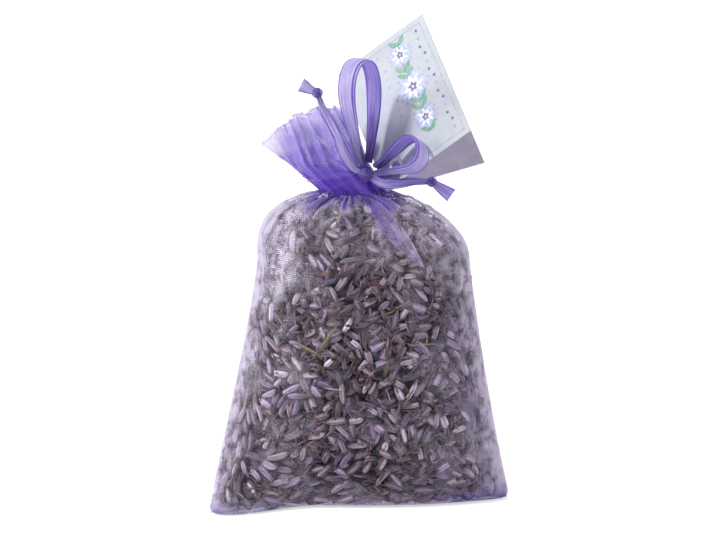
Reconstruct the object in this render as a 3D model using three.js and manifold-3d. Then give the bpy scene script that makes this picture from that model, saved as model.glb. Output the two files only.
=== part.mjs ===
// Lavender sachet: a gathered organza pouch of dried lavender, tied with two ribbon drawstrings in a bow
// and carrying a folded card tag. Millimetres, +Z up. The pouch stands on its base, with the bow and the
// front of the tag towards -Y. The origin is the middle of the base.
import * as THREE from "three";
import { mergeVertices } from "three/addons/utils/BufferGeometryUtils.js";
import Module from "manifold-3d";

const wasm = await Module();
wasm.setup();

// Pouch: a 100 mm wide flat bag, swollen by its filling
const BASE_HALF_WIDTH = 50.2;
const SHOULDER_HALF_WIDTH = 35.3;
const NECK_HALF_WIDTH = 11.2;
const BASE_HALF_DEPTH = 12.5;
const BELLY_HALF_DEPTH = 22.5;
const SHOULDER_HALF_DEPTH = 19;
const NECK_HALF_DEPTH = 6.4;
const BELLY_HEIGHT = 42;
const SHOULDER_HEIGHT = 82;
const NECK_HEIGHT = 104.6;
const BODY_SHIFT = 1.3;
const NECK_SHIFT = -2.7;
const SIDE_CURVE = 1.2;
const LOWER_BELLY_CURVE = 2.2;
const UPPER_BELLY_CURVE = 2;
const SHOULDER_ROUNDING = 2.2;
const SHOULDER_FALL = 0.6;
const LEFT_CORNER_FORWARD = 20;
const RIGHT_CORNER_BACK = 3;
const CORNER_HEIGHT = 17;
const CORNER_REACH = 37.65;
const GATHER_START = 57.4;
const GATHER_DEPTH = 0.15;
const GATHERS = 7;
const GATHER_UNEVENNESS = 1.3;
const GATHER_WAVES = 3;
const CLOTH = 0.8;
const CLEARANCE = 0.3;

// Seams, with their allowance turned inside, and their thread
const SEAM_THICKNESS = 1.2;
const SEAM_WIDTH = 3;
const SEAM_BELOW_NECK = 6.3;
const THREAD_RADIUS = 0.35;

// Casing, the stitched tunnel that the drawstrings run in, and the frill above it
const CASING_HEIGHT = 7.5;
const CASING_TOP_SHIFT = -9.4;
const CASING_TOP_HALF_WIDTH = 13;
const CASING_TOP_HALF_DEPTH = 6;
const CASING_SIDE_OPENING_DEG = 16;
const FRILL_LEFT = [-23.4, 5.8];
const FRILL_MIDDLE = [-9, 21.5];
const FRILL_RIGHT = [5.6, 17.5];
const FRILL_PLEATS = 6;
const FRILL_PLEAT_DEPTH = 2.6;
const FRILL_THICKNESS = 0.6;
const FRILL_APART = 1.2;
const FLAP_LENGTH = 27;
const FLAP_WIDTH = 5.2;
const FLAP_RISE_DEG = -51;
const FLAP_GAP = 0.8;
const FLAP_ROOT_DEG = 129.6;
const FLAP_BELOW_NECK = 1;
const FLAP_NECK_LIMIT = 0.4;
const FLAP_NARROWEST = 0.12;
const FLAP_LEAF_START = 0.1;
const FLAP_LEAF_SPAN = 0.88;
const FLAP_LEAF_CURVE = 0.9;

// Ribbon drawstrings
const RIBBON_WIDTH = 6.4;
const RIBBON_THICKNESS = 0.5;
const RIBBON_PINCH = 2.6;
const RIBBON_PINCH_SHARE = 0.28;
const RIBBON_APART = 0.95;
const LEG_RADIUS = 1.1;
const KNOT_RADII = [3, 2.5, 2.7];
const KNOT_SHIFT = 2.2;
const KNOT_BELOW_CASING_TOP = 1;
const KNOT_BANDS = [[0.2, 0], [1.1, 0.5], [-0.9, 0.9]];
const BAND_RADIUS = 0.78;
const BAND_SECTION = 0.24;
const TAIL_HALF_WIDTH = 1.3;
const TAIL_SWELL = 0.364;
const TAIL_KNOT_RADIUS = 1.7;
const TAIL_KNOT_BANDS = [[0.5, 0.4], [-0.7, 1.2]];
const TAIL_END_GAP = 0.2;
const LEFT_END_LENGTH = 4;
const RIGHT_END_LENGTH = 6;
const TAIL_END_NARROW = 1.3;
const TAIL_END_WIDTH = 4.6;
const TAIL_END_FLARE = 0.8;
const TAIL_END_BOW = 0.3;

// Card tag, folded once along its end, with a punched hole in both leaves
const TAG_LENGTH = 48;
const TAG_FRONT_WIDTH = 36.5;
const TAG_BACK_WIDTH = 34.2;
const TAG_THICKNESS = 0.4;
const TAG_HOLE_RADIUS = 2.8;
const TAG_HOLE_FROM_FOLD = 5.2;
const TAG_HOLE_FROM_END = 6;
const TAG_OPENING_DEG = 38;
const TAG_FOLD_DIRECTION = new THREE.Vector3(-0.332, 0.641, 0.689);
const TAG_BACK_DIRECTION = new THREE.Vector3(0.942, 0.243, 0.229);
const TAG_HOLE_FROM_CASING = new THREE.Vector3(3.6, -2, 6.1);

// Filling, and the lumps that its buds make under the cloth
const FILL_GAP = 1.2;
const LUMPS_ACROSS = 13;
const LUMP_SPACING = 7.7;
const FILL_DENT = 2.2;
const CLOTH_DENT = 1.5;
const DENTS_FULL_HEIGHT = 10;
const DENTS_FADE_HEIGHT = 58;
const DENTS_END_HEIGHT = 80;

// Ribbon routes, from the middle of the bow knot. A loop's points are in its own plane: along, across.
const UPPER_LOOP_RISE_DEG = 93.6;
const UPPER_LOOP_TURN_DEG = 48;
const UPPER_LOOP_ROUTE = [
  [3.4, 1.7], [8.6, 3.6], [17.2, 6], [26, 7.7], [33, 6.9], [37.4, 4], [38.6, 0],
  [37.2, -3.7], [32, -5.9], [25.4, -6.2], [16.8, -5], [8.4, -2.9], [3.4, -1.5],
];
const RIGHT_LOOP_RISE_DEG = 28;
const RIGHT_LOOP_TURN_DEG = 45;
const RIGHT_LOOP_FORWARD_DEG = 20;
const RIGHT_LOOP_ROUTE = [
  [3.6, 1.3], [7.4, 2], [12.4, 4.2], [17.4, 5.9], [21.2, 4.4], [22.9, 0.2], [21.6, -4.2],
  [17.6, -5.9], [12.6, -4.7], [7.6, -2.9], [3.6, -1.6],
];
const LEFT_TAIL_ROUTE = [
  [-3.7, -0.9, 1.6], [-5.9, -2.4, 5.1], [-8.2, -3.6, 10.2], [-10.7, -4.4, 15.9], [-13.3, -4.6, 21.6],
  [-15.3, -4.6, 26.2],
];
const LEFT_TAIL_ACROSS = new THREE.Vector3(0.8, -0.35, 0.45);
const LEFT_END_DIRECTION = new THREE.Vector3(-0.88, -0.1, 0.46);
const LEFT_END_ACROSS = new THREE.Vector3(0.46, 0.1, 0.88);
const RIGHT_TAIL_ROUTE = [
  [3.3, -1.2, -1.8], [6.4, -2.6, -2.7], [10.8, -3.8, -2.6], [15.2, -4.4, -1.8], [19.6, -4.6, -1.8],
];
const RIGHT_TAIL_ACROSS = new THREE.Vector3(0, -0.3, 1);
const RIGHT_END_DIRECTION = new THREE.Vector3(0.82, -0.1, -0.56);
const RIGHT_END_ACROSS = new THREE.Vector3(0.56, 0.1, 0.82);
const LEFT_LEG_ACROSS = new THREE.Vector3(-0.4, 0, 1);

// The right drawstring leg: points below and above the tag, from its hole, and at the knot, from its side
const LEG_BELOW_TAG = [-1.2, 0.4, -3.08];
const LEG_CLEAR_OF_LEAF = 0.66;
const LEG_ABOVE_TAG = [-1.8, -2.6, 2.09];
const LEG_END = [0, 2, -1];
const LEG_BEFORE_END = [2.8, -0.8, 0.2];

const CLOTH_MATERIAL = material(0xb9a6dc, 0.6);
const SEAM_MATERIAL = material(0x8d6fc4, 0.7);
const THREAD_MATERIAL = material(0x6a4fb0, 0.8);
const RIBBON_MATERIAL = material(0x7a5cc0, 0.35);
const CARD_MATERIAL = material(0xf4f3f8, 0.55);
const FILL_MATERIAL = material(0x8b8190, 0.9);

// Mesh fineness
const COLUMNS = 2 * LUMPS_ACROSS;
const BASE_ROWS = 2;
const SHOULDER_ROWS = 8;
const SHOULDER_ROW_SPREAD = 1.6;
const BOTTOM_SEAM_SKIP = 2;
const BOTTOM_THREAD_SKIP = 4;
const THREAD_SIDES = 5;
const THREAD_STEPS = 26;
const STITCH_RING_STEPS = 36;
const CASING_COLUMNS = 18;
const FRILL_COLUMNS = 36;
const FRILL_ROWS = 4;
const FLAP_COLUMNS = 4;
const FLAP_ROWS = 14;
const LEG_STEPS = 8;
const LEG_SIDES = 8;
const LOOP_POINTS = 24;
const LOOP_STEPS = 32;
const TAIL_STEPS = 14;
const TAIL_END_STEPS = 4;
const HOLE_SEGMENTS = 10;

function material(color, roughness) {
  return new THREE.MeshStandardMaterial({ color, roughness, metalness: 0, side: THREE.DoubleSide });
}

function smooth(t) {
  const s = THREE.MathUtils.clamp(t, 0, 1);
  return s * s * (3 - 2 * s);
}

// A closed solid from vertices and triangles, turned so that its faces point out.
function closedGeometry(points, triangles) {
  let volume = 0;
  for (const [a, b, c] of triangles) {
    volume += points[a].dot(new THREE.Vector3().crossVectors(points[b], points[c]));
  }
  const turned = volume < 0 ? triangles.map(([a, b, c]) => [a, c, b]) : triangles;
  const geometry = new THREE.BufferGeometry().setFromPoints(points);
  geometry.setIndex(turned.flat());
  geometry.computeVertexNormals();
  return geometry;
}

// A closed solid between two sheets of points with the same rows and columns.
function betweenSheets(outer, inner) {
  const rows = outer.length;
  const columns = outer[0].length;
  const points = [...outer.flat(), ...inner.flat()];
  const far = rows * columns;
  const at = (i, j) => i * columns + j;
  const triangles = [];
  const quad = (a, b, c, d) => triangles.push([a, b, c], [a, c, d]);
  for (let i = 0; i + 1 < rows; i++) {
    for (let j = 0; j + 1 < columns; j++) {
      const [a, b, c, d] = [at(i, j), at(i, j + 1), at(i + 1, j + 1), at(i + 1, j)];
      quad(a, b, c, d);
      quad(far + a, far + d, far + c, far + b);
    }
  }
  for (let j = 0; j + 1 < columns; j++) {
    const [a, b] = [at(0, j), at(0, j + 1)];
    const [c, d] = [at(rows - 1, j), at(rows - 1, j + 1)];
    quad(b, a, far + a, far + b);
    quad(c, d, far + d, far + c);
  }
  for (let i = 0; i + 1 < rows; i++) {
    const [a, b] = [at(i, 0), at(i + 1, 0)];
    const [c, d] = [at(i, columns - 1), at(i + 1, columns - 1)];
    quad(a, b, far + b, far + a);
    quad(d, c, far + c, far + d);
  }
  return closedGeometry(points, triangles);
}

// A closed solid through rings of points, one ring above the other, with a fan at each end.
function throughRings(rings) {
  const count = rings[0].length;
  const points = rings.flat();
  const triangles = [];
  for (let i = 0; i + 1 < rings.length; i++) {
    for (let j = 0; j < count; j++) {
      const next = (j + 1) % count;
      const [a, b] = [i * count + j, i * count + next];
      const [c, d] = [(i + 1) * count + next, (i + 1) * count + j];
      triangles.push([a, b, c], [a, c, d]);
    }
  }
  const last = (rings.length - 1) * count;
  const middle = (ring) => ring.reduce((sum, p) => sum.add(p), new THREE.Vector3()).divideScalar(count);
  const low = points.push(middle(rings[0])) - 1;
  const high = points.push(middle(rings[rings.length - 1])) - 1;
  for (let j = 0; j < count; j++) {
    const next = (j + 1) % count;
    triangles.push([low, next, j], [high, last + j, last + next]);
  }
  return closedGeometry(points, triangles);
}

// A flat band along a route: its width lies along across, and its half width is halfWidth(t).
function band(route, across, halfWidth, thickness, steps) {
  const rings = [];
  for (let i = 0; i <= steps; i++) {
    const t = i / steps;
    const middle = route.getPoint(t);
    const along = route.getTangent(t);
    const side = across.clone();
    side.addScaledVector(along, -side.dot(along)).normalize();
    const face = new THREE.Vector3().crossVectors(along, side).normalize();
    const corner = (u, v) =>
      middle.clone().addScaledVector(side, u * halfWidth(t)).addScaledVector(face, (v * thickness) / 2);
    rings.push([corner(-1, -1), corner(1, -1), corner(1, 1), corner(-1, 1)]);
  }
  return throughRings(rings);
}

// A round tube along an open route.
function tube(route, radius, sides, steps) {
  const section = new THREE.Shape();
  for (let i = 0; i < sides; i++) {
    const angle = (2 * Math.PI * i) / sides;
    const [x, y] = [radius * Math.cos(angle), radius * Math.sin(angle)];
    if (i === 0) section.moveTo(x, y);
    else section.lineTo(x, y);
  }
  return new THREE.ExtrudeGeometry(section, { steps, extrudePath: route, bevelEnabled: false });
}

function smoothRoute(points) {
  return new THREE.CatmullRomCurve3(points, false, "catmullrom", 0.5);
}

function solidOf(geometry) {
  const bare = geometry.index ? geometry.toNonIndexed() : geometry.clone();
  bare.deleteAttribute("normal");
  bare.deleteAttribute("uv");
  const merged = mergeVertices(bare, 1e-4);
  const vertProperties = new Float32Array(merged.attributes.position.array);
  const triVerts = new Uint32Array(merged.index.array);
  return new wasm.Manifold(new wasm.Mesh({ numProp: 3, vertProperties, triVerts }));
}

function geometryOf(solid) {
  const mesh = solid.getMesh();
  const geometry = new THREE.BufferGeometry();
  geometry.setAttribute("position", new THREE.BufferAttribute(mesh.vertProperties, 3));
  geometry.setIndex(new THREE.BufferAttribute(mesh.triVerts, 1));
  geometry.computeVertexNormals();
  return geometry;
}

// Pouch outline at a height: half width, half depth, sideways shift of its middle
function shoulderTaper(height) {
  const t = THREE.MathUtils.clamp((height - SHOULDER_HEIGHT) / (NECK_HEIGHT - SHOULDER_HEIGHT), 0, 1);
  return Math.pow(1 - Math.pow(t, SHOULDER_ROUNDING), SHOULDER_FALL);
}

function pouchHalfWidth(height) {
  if (height <= SHOULDER_HEIGHT) {
    const below = Math.pow(1 - height / SHOULDER_HEIGHT, SIDE_CURVE);
    return SHOULDER_HALF_WIDTH + (BASE_HALF_WIDTH - SHOULDER_HALF_WIDTH) * below;
  }
  return NECK_HALF_WIDTH + (SHOULDER_HALF_WIDTH - NECK_HALF_WIDTH) * shoulderTaper(height);
}

function pouchHalfDepth(height) {
  if (height <= BELLY_HEIGHT) {
    const below = Math.pow(1 - height / BELLY_HEIGHT, LOWER_BELLY_CURVE);
    return BELLY_HALF_DEPTH - (BELLY_HALF_DEPTH - BASE_HALF_DEPTH) * below;
  }
  if (height <= SHOULDER_HEIGHT) {
    const above = Math.pow((height - BELLY_HEIGHT) / (SHOULDER_HEIGHT - BELLY_HEIGHT), UPPER_BELLY_CURVE);
    return BELLY_HALF_DEPTH - (BELLY_HALF_DEPTH - SHOULDER_HALF_DEPTH) * above;
  }
  return NECK_HALF_DEPTH + (SHOULDER_HALF_DEPTH - NECK_HALF_DEPTH) * shoulderTaper(height);
}

function pouchShift(height) {
  const neckShare = smooth((height - SHOULDER_HEIGHT) / (NECK_HEIGHT - SHOULDER_HEIGHT));
  return BODY_SHIFT * smooth(height / SHOULDER_HEIGHT) * (1 - neckShare) + NECK_SHIFT * neckShare;
}

// The left bottom corner stands forward and the right one back, fading out above the base.
function cornerForward(x, height) {
  const fade = Math.exp(-Math.pow(height / CORNER_HEIGHT, 2));
  const start = BASE_HALF_WIDTH - CORNER_REACH;
  const left = smooth((-x - start) / CORNER_REACH);
  const right = smooth((x - start) / CORNER_REACH);
  return fade * (RIGHT_CORNER_BACK * right - LEFT_CORNER_FORWARD * left);
}

// Pleats that run out of the neck over the shoulders, as a share of the half depth.
function gather(angle, height) {
  const growth = smooth((height - GATHER_START) / (NECK_HEIGHT - GATHER_START));
  const uneven = GATHER_UNEVENNESS * Math.sin(GATHER_WAVES * angle);
  return GATHER_DEPTH * growth * Math.cos(2 * GATHERS * angle + uneven);
}

const SEAM_GAP = SEAM_THICKNESS / 2 + CLEARANCE;
const FILL_BOTTOM = SEAM_WIDTH + 2 * (CLEARANCE + THREAD_RADIUS) + CLEARANCE;

// How far a place lies between the lumps: 0 on top of one, 1 midway between them.
function betweenLumps(angle, height) {
  const up = (2 * Math.PI * (height - FILL_BOTTOM)) / LUMP_SPACING;
  return (1 - Math.cos(2 * LUMPS_ACROSS * angle) * Math.cos(up)) / 2;
}

function clothDent(angle, height) {
  const fade = 1 - smooth((height - DENTS_FADE_HEIGHT) / (DENTS_END_HEIGHT - DENTS_FADE_HEIGHT));
  return CLOTH_DENT * smooth(height / DENTS_FULL_HEIGHT) * fade * betweenLumps(angle, height);
}

// A point of the pouch wall. side is -1 in front and 1 at the back, angle runs from 0 on the left to pi on
// the right, and out is the share of the way from the seam plane to the wall. Insets lie inside the wall.
function pouchPoint(side, angle, height, { inset = 0, sideInset = inset, out = 1, gap = SEAM_GAP } = {}) {
  const rise = smooth((height - GATHER_START) / (SHOULDER_HEIGHT - GATHER_START));
  const halfWidth = pouchHalfWidth(Math.min(height + sideInset * rise, NECK_HEIGHT)) - sideInset;
  const halfDepth = pouchHalfDepth(Math.min(height + inset * rise, NECK_HEIGHT)) - inset;
  const x = pouchShift(height) - halfWidth * Math.cos(angle);
  const depth = halfDepth * (1 + gather(angle, height)) - clothDent(angle, height);
  const y = side * (gap + out * depth * Math.sin(angle)) + cornerForward(x, height);
  return new THREE.Vector3(x, y, height);
}

// Rows of the wall: two to a lump below the shoulder, and closer towards the neck above it.
function wallHeights(lowest, highest) {
  const heights = [lowest];
  const step = LUMP_SPACING / 2;
  for (let height = FILL_BOTTOM; height < SHOULDER_HEIGHT - step / 2; height += step) {
    if (height > lowest) heights.push(height);
  }
  for (let i = 0; i <= SHOULDER_ROWS; i++) {
    const share = 1 - Math.pow(1 - i / SHOULDER_ROWS, SHOULDER_ROW_SPREAD);
    heights.push(SHOULDER_HEIGHT + (highest - SHOULDER_HEIGHT) * share);
  }
  return heights;
}

// One panel of the pouch: half of the base, from the bottom seam out, and the wall up to the neck.
function panel(side) {
  const sheet = (inset) => {
    const rows = [];
    const row = (height, out) =>
      Array.from({ length: COLUMNS + 1 }, (_, j) =>
        pouchPoint(side, (Math.PI * j) / COLUMNS, height, { inset, out }));
    for (let i = 0; i < BASE_ROWS; i++) rows.push(row(inset, i / BASE_ROWS));
    for (const height of wallHeights(inset, NECK_HEIGHT)) rows.push(row(height, 1));
    return rows;
  };
  return betweenSheets(sheet(0), sheet(CLOTH));
}

// The pouch's side edge in the seam plane, and the way into the pouch there.
function sideEdge(angle, height) {
  return pouchPoint(1, angle, height, { gap: 0 });
}

function inward(angle, height) {
  const step = 0.05;
  const tangent = sideEdge(angle, height + step).sub(sideEdge(angle, height - step)).normalize();
  const across = new THREE.Vector3(0, 1, 0);
  const normal = new THREE.Vector3().crossVectors(across, tangent).normalize();
  return angle === 0 ? normal : normal.negate();
}

// A side seam's rows: all the wall's rows above the base, up to a little below the neck.
function seamHeights() {
  const heights = wallHeights(0, NECK_HEIGHT).slice(1);
  return heights.filter((height) => height <= NECK_HEIGHT - SEAM_BELOW_NECK);
}

// The point a given depth inside the pouch's side edge, still between the two panels.
function insideEdge(angle, height, depth) {
  const point = sideEdge(angle, height).addScaledVector(inward(angle, height), depth);
  return point.setY(cornerForward(point.x, point.z));
}

// A side seam: the two panels' allowances, turned inside and sewn together.
function sideSeam(angle) {
  const half = SEAM_THICKNESS / 2;
  const rings = seamHeights().map((height) => {
    const outer = sideEdge(angle, height);
    const inner = insideEdge(angle, height, SEAM_WIDTH);
    const lift = (p, y) => p.clone().setY(p.y + y);
    return [lift(outer, -half), lift(outer, half), lift(inner, half), lift(inner, -half)];
  });
  return throughRings(rings);
}

function sideThread(angle) {
  const depth = SEAM_WIDTH + CLEARANCE + THREAD_RADIUS;
  const points = seamHeights().map((height) => insideEdge(angle, height, depth));
  return tube(smoothRoute(points), THREAD_RADIUS, THREAD_SIDES, THREAD_STEPS);
}

// The bottom seam stands on the base between the two panels, from corner to corner.
function bottomLine(height, skip) {
  return Array.from({ length: COLUMNS + 1 - 2 * skip }, (_, i) => {
    const angle = (Math.PI * (i + skip)) / COLUMNS;
    const x = pouchPoint(1, angle, 0).x;
    return new THREE.Vector3(x, cornerForward(x, height), height);
  });
}

function bottomSeam() {
  const half = SEAM_THICKNESS / 2;
  const low = bottomLine(0, BOTTOM_SEAM_SKIP);
  const high = bottomLine(SEAM_WIDTH, BOTTOM_SEAM_SKIP);
  const lift = (p, y) => p.clone().setY(p.y + y);
  const rings = low.map((p, i) => [lift(p, -half), lift(p, half), lift(high[i], half), lift(high[i], -half)]);
  return throughRings(rings);
}

function bottomThread() {
  const height = SEAM_WIDTH + CLEARANCE + THREAD_RADIUS;
  return tube(smoothRoute(bottomLine(height, BOTTOM_THREAD_SKIP)), THREAD_RADIUS, THREAD_SIDES, THREAD_STEPS);
}

// The settled mass of buds and stalk pieces.
function filling() {
  const sideInset = FILL_BOTTOM;
  const rings = wallHeights(FILL_BOTTOM, NECK_HEIGHT - sideInset).map((height) => {
    const half = (side, from, to) =>
      Array.from({ length: COLUMNS }, (_, j) => {
        const angle = THREE.MathUtils.lerp(from, to, j / COLUMNS);
        const inset = CLOTH + FILL_GAP + FILL_DENT * betweenLumps(angle, height);
        return pouchPoint(side, angle, height, { inset, sideInset, gap: 0 });
      });
    return [...half(-1, 0, Math.PI), ...half(1, Math.PI, 0)];
  });
  return throughRings(rings);
}

// Casing outline: an ellipse that widens and leans to the left as it rises.
const STITCH_LINE = 2 * (CLEARANCE + THREAD_RADIUS);
const CASING_BOTTOM = NECK_HEIGHT + STITCH_LINE;
const CASING_TOP = CASING_BOTTOM + CASING_HEIGHT;

function casingPoint(angle, height, inset) {
  const t = (height - CASING_BOTTOM) / CASING_HEIGHT;
  const shift = THREE.MathUtils.lerp(NECK_SHIFT, CASING_TOP_SHIFT, t);
  const halfWidth = THREE.MathUtils.lerp(NECK_HALF_WIDTH, CASING_TOP_HALF_WIDTH, t) - inset;
  const halfDepth = THREE.MathUtils.lerp(NECK_HALF_DEPTH, CASING_TOP_HALF_DEPTH, t) - inset;
  return new THREE.Vector3(shift - halfWidth * Math.cos(angle), -halfDepth * Math.sin(angle), height);
}

// The casing's front at a given x.
function casingFront(x, height) {
  const left = casingPoint(0, height, 0).x;
  const right = casingPoint(Math.PI, height, 0).x;
  const cosine = THREE.MathUtils.clamp((left + right - 2 * x) / (right - left), -1, 1);
  return casingPoint(Math.acos(cosine), height, 0);
}

const SIDE_OPENING = THREE.MathUtils.degToRad(CASING_SIDE_OPENING_DEG);

// Half of the casing: front with side 0, back with side 1. It stops short of the side openings.
function casing(side) {
  const sheet = (inset) =>
    [CASING_BOTTOM, (CASING_BOTTOM + CASING_TOP) / 2, CASING_TOP].map((height) =>
      Array.from({ length: CASING_COLUMNS + 1 }, (_, j) => {
        const share = j / CASING_COLUMNS;
        const angle = side * Math.PI + SIDE_OPENING + (Math.PI - 2 * SIDE_OPENING) * share;
        return casingPoint(angle, height, inset);
      }));
  return betweenSheets(sheet(0), sheet(CLOTH));
}

const RUN_INSET = CLOTH + CLEARANCE;
const LINING_INSET = RUN_INSET + RIBBON_THICKNESS + CLEARANCE;
const RUN_HEIGHT = (CASING_HEIGHT - 3 * CLEARANCE) / 2;

// A drawstring's run through the tunnel, open where its two ends leave at one side.
function drawstringRun(level, exitAngle) {
  const low = CASING_BOTTOM + CLEARANCE + level * (RUN_HEIGHT + CLEARANCE);
  const columns = 2 * CASING_COLUMNS;
  const sheet = (inset) =>
    [low, low + RUN_HEIGHT].map((height) =>
      Array.from({ length: columns + 1 }, (_, j) => {
        const angle = exitAngle + SIDE_OPENING + (2 * (Math.PI - SIDE_OPENING) * j) / columns;
        return casingPoint(angle, height, inset);
      }));
  return betweenSheets(sheet(RUN_INSET), sheet(RUN_INSET + RIBBON_THICKNESS));
}

// The tunnel's inner layer: both panels, bunched tight inside the drawstrings.
function casingLining() {
  const rings = [CASING_BOTTOM, (CASING_BOTTOM + CASING_TOP) / 2, CASING_TOP].map((height) =>
    Array.from({ length: CASING_COLUMNS }, (_, j) =>
      casingPoint((2 * Math.PI * j) / CASING_COLUMNS, height, LINING_INSET)));
  return throughRings(rings);
}

// A stitch line round the neck, with its two ends apart at the back.
function stitchRing(height, at) {
  const apart = 0.12;
  const points = Array.from({ length: STITCH_RING_STEPS + 1 }, (_, j) => {
    const angle = 1.5 * Math.PI + apart + ((2 * Math.PI - 2 * apart) * j) / STITCH_RING_STEPS;
    return casingPoint(angle, at, CLOTH / 2).setZ(height);
  });
  return tube(smoothRoute(points), THREAD_RADIUS, THREAD_SIDES, STITCH_RING_STEPS);
}

// The frill: one layer of the header above the casing, fanned out to the left.
const FRILL_BOTTOM = CASING_TOP + STITCH_LINE;

function frillEdge(share) {
  const edge = new THREE.QuadraticBezierCurve(
    new THREE.Vector2(...FRILL_LEFT), new THREE.Vector2(...FRILL_MIDDLE), new THREE.Vector2(...FRILL_RIGHT));
  const bow = edge.getPoint(share);
  return bow.add(new THREE.Vector2(CASING_TOP_SHIFT, FRILL_BOTTOM));
}

function frill(side) {
  const rest = FRILL_APART / 2 + FRILL_PLEAT_DEPTH + FRILL_THICKNESS;
  const sheet = (lift) =>
    Array.from({ length: FRILL_ROWS + 1 }, (_, i) => {
      const t = i / FRILL_ROWS;
      return Array.from({ length: FRILL_COLUMNS + 1 }, (_, j) => {
        const share = j / FRILL_COLUMNS;
        const foot = casingPoint(Math.PI * share, CASING_TOP, 0);
        const edge = frillEdge(share);
        const pleat = FRILL_PLEAT_DEPTH * t * Math.sin(2 * Math.PI * FRILL_PLEATS * share + side);
        const footDepth = Math.max(-foot.y, FRILL_APART / 2 + FRILL_THICKNESS);
        const depth = THREE.MathUtils.lerp(footDepth, rest, t) + pleat - lift;
        const x = THREE.MathUtils.lerp(foot.x, edge.x, t);
        const z = THREE.MathUtils.lerp(FRILL_BOTTOM, edge.y, t);
        return new THREE.Vector3(x, side * depth, z);
      });
    });
  return betweenSheets(sheet(0), sheet(FRILL_THICKNESS));
}

// The front frill's right corner, folded down over the pouch as a narrow leaf.
function frillFlap() {
  const rise = THREE.MathUtils.degToRad(FLAP_RISE_DEG);
  const root = casingPoint(THREE.MathUtils.degToRad(FLAP_ROOT_DEG), CASING_BOTTOM, 0);
  const sheet = (lift) =>
    Array.from({ length: FLAP_ROWS + 1 }, (_, i) => {
      const t = i / FLAP_ROWS;
      const leaf = Math.sin(Math.PI * Math.pow(FLAP_LEAF_START + FLAP_LEAF_SPAN * t, FLAP_LEAF_CURVE));
      const half = (FLAP_WIDTH / 2) * THREE.MathUtils.lerp(FLAP_NARROWEST, 1, leaf);
      return Array.from({ length: FLAP_COLUMNS + 1 }, (_, j) => {
        const across = half * ((2 * j) / FLAP_COLUMNS - 1);
        const along = FLAP_LENGTH * t;
        const x = root.x + along * Math.cos(rise) - across * Math.sin(rise);
        const height = NECK_HEIGHT - FLAP_BELOW_NECK + along * Math.sin(rise) + across * Math.cos(rise);
        return wallOutside(x, Math.min(height, NECK_HEIGHT - FLAP_NECK_LIMIT), FLAP_GAP + lift);
      });
    });
  return betweenSheets(sheet(FRILL_THICKNESS), sheet(0));
}

// The point in front of the pouch wall at a given x and height, clear of its pleats by lift.
function wallOutside(x, height, lift) {
  const nearSide = 0.98;
  const across = (pouchShift(height) - x) / pouchHalfWidth(height);
  const cosine = THREE.MathUtils.clamp(across, -nearSide, nearSide);
  const angle = Math.acos(cosine);
  const point = pouchPoint(-1, angle, height);
  const step = 0.2;
  const slope = pouchPoint(-1, angle, height - step).y - point.y;
  const normalStretch = Math.hypot(1, slope / step);
  return new THREE.Vector3(x, point.y - lift * normalStretch, height);
}

// Bow knot: in front of the casing, with the drawstrings' legs drawn round to it
const KNOT_HEIGHT = CASING_TOP - KNOT_BELOW_CASING_TOP;
const KNOT_BACK = casingFront(KNOT_SHIFT - KNOT_RADII[0], CASING_TOP).y;
const KNOT = new THREE.Vector3(KNOT_SHIFT, KNOT_BACK - CLEARANCE - KNOT_RADII[1], KNOT_HEIGHT);

// A knot: a lump with bands of ribbon drawn tight over it.
function knot(radii, bands) {
  const [rx, ry, rz] = radii;
  let solid = solidOf(new THREE.SphereGeometry(1, 10, 7).scale(rx, ry, rz));
  for (const [turn, lean] of bands) {
    const wrap = new THREE.TorusGeometry(BAND_RADIUS, BAND_SECTION, 5, 12).rotateY(turn).rotateX(lean);
    solid = solid.add(solidOf(wrap.scale(rx, ry, rz)));
  }
  return geometryOf(solid);
}

// A drawstring's left leg: from the casing's side opening round the front to the knot.
function leftLeg() {
  const height = (CASING_BOTTOM + CASING_TOP) / 2;
  const clear = 2 * CLEARANCE + RIBBON_THICKNESS;
  const start = casingPoint(0, height, -clear).x;
  const stop = KNOT.x - KNOT_RADII[0] - CLEARANCE;
  const points = Array.from({ length: LEG_STEPS + 1 }, (_, i) => {
    const t = i / LEG_STEPS;
    const level = THREE.MathUtils.lerp(height, CASING_TOP - RIBBON_PINCH / 2, t);
    const front = casingFront(THREE.MathUtils.lerp(start, stop, 1 - Math.cos((Math.PI * t) / 2)), level);
    return front.add(new THREE.Vector3(-clear * (1 - t), -clear, 0));
  });
  return band(smoothRoute(points), LEFT_LEG_ACROSS, () => RIBBON_PINCH / 2, RIBBON_THICKNESS, 2 * LEG_STEPS);
}

// Tag frame: x from the fold over the back leaf, y up the fold, z out of the tag's front
const TAG_OVER_BACK = TAG_BACK_DIRECTION.clone().normalize();
const TAG_OUT = new THREE.Vector3().crossVectors(TAG_OVER_BACK, TAG_FOLD_DIRECTION).normalize();
const TAG_UP_FOLD = new THREE.Vector3().crossVectors(TAG_OUT, TAG_OVER_BACK);
const TAG_BASIS = new THREE.Matrix4().makeBasis(TAG_OVER_BACK, TAG_UP_FOLD, TAG_OUT);
const TAG_HOLE = casingPoint(Math.PI, CASING_BOTTOM, 0).add(TAG_HOLE_FROM_CASING);
const TAG_OPENING = THREE.MathUtils.degToRad(TAG_OPENING_DEG);

function fromTagHole(x, y, z) {
  return new THREE.Vector3(x, y, z).applyMatrix4(TAG_BASIS).add(TAG_HOLE);
}

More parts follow.
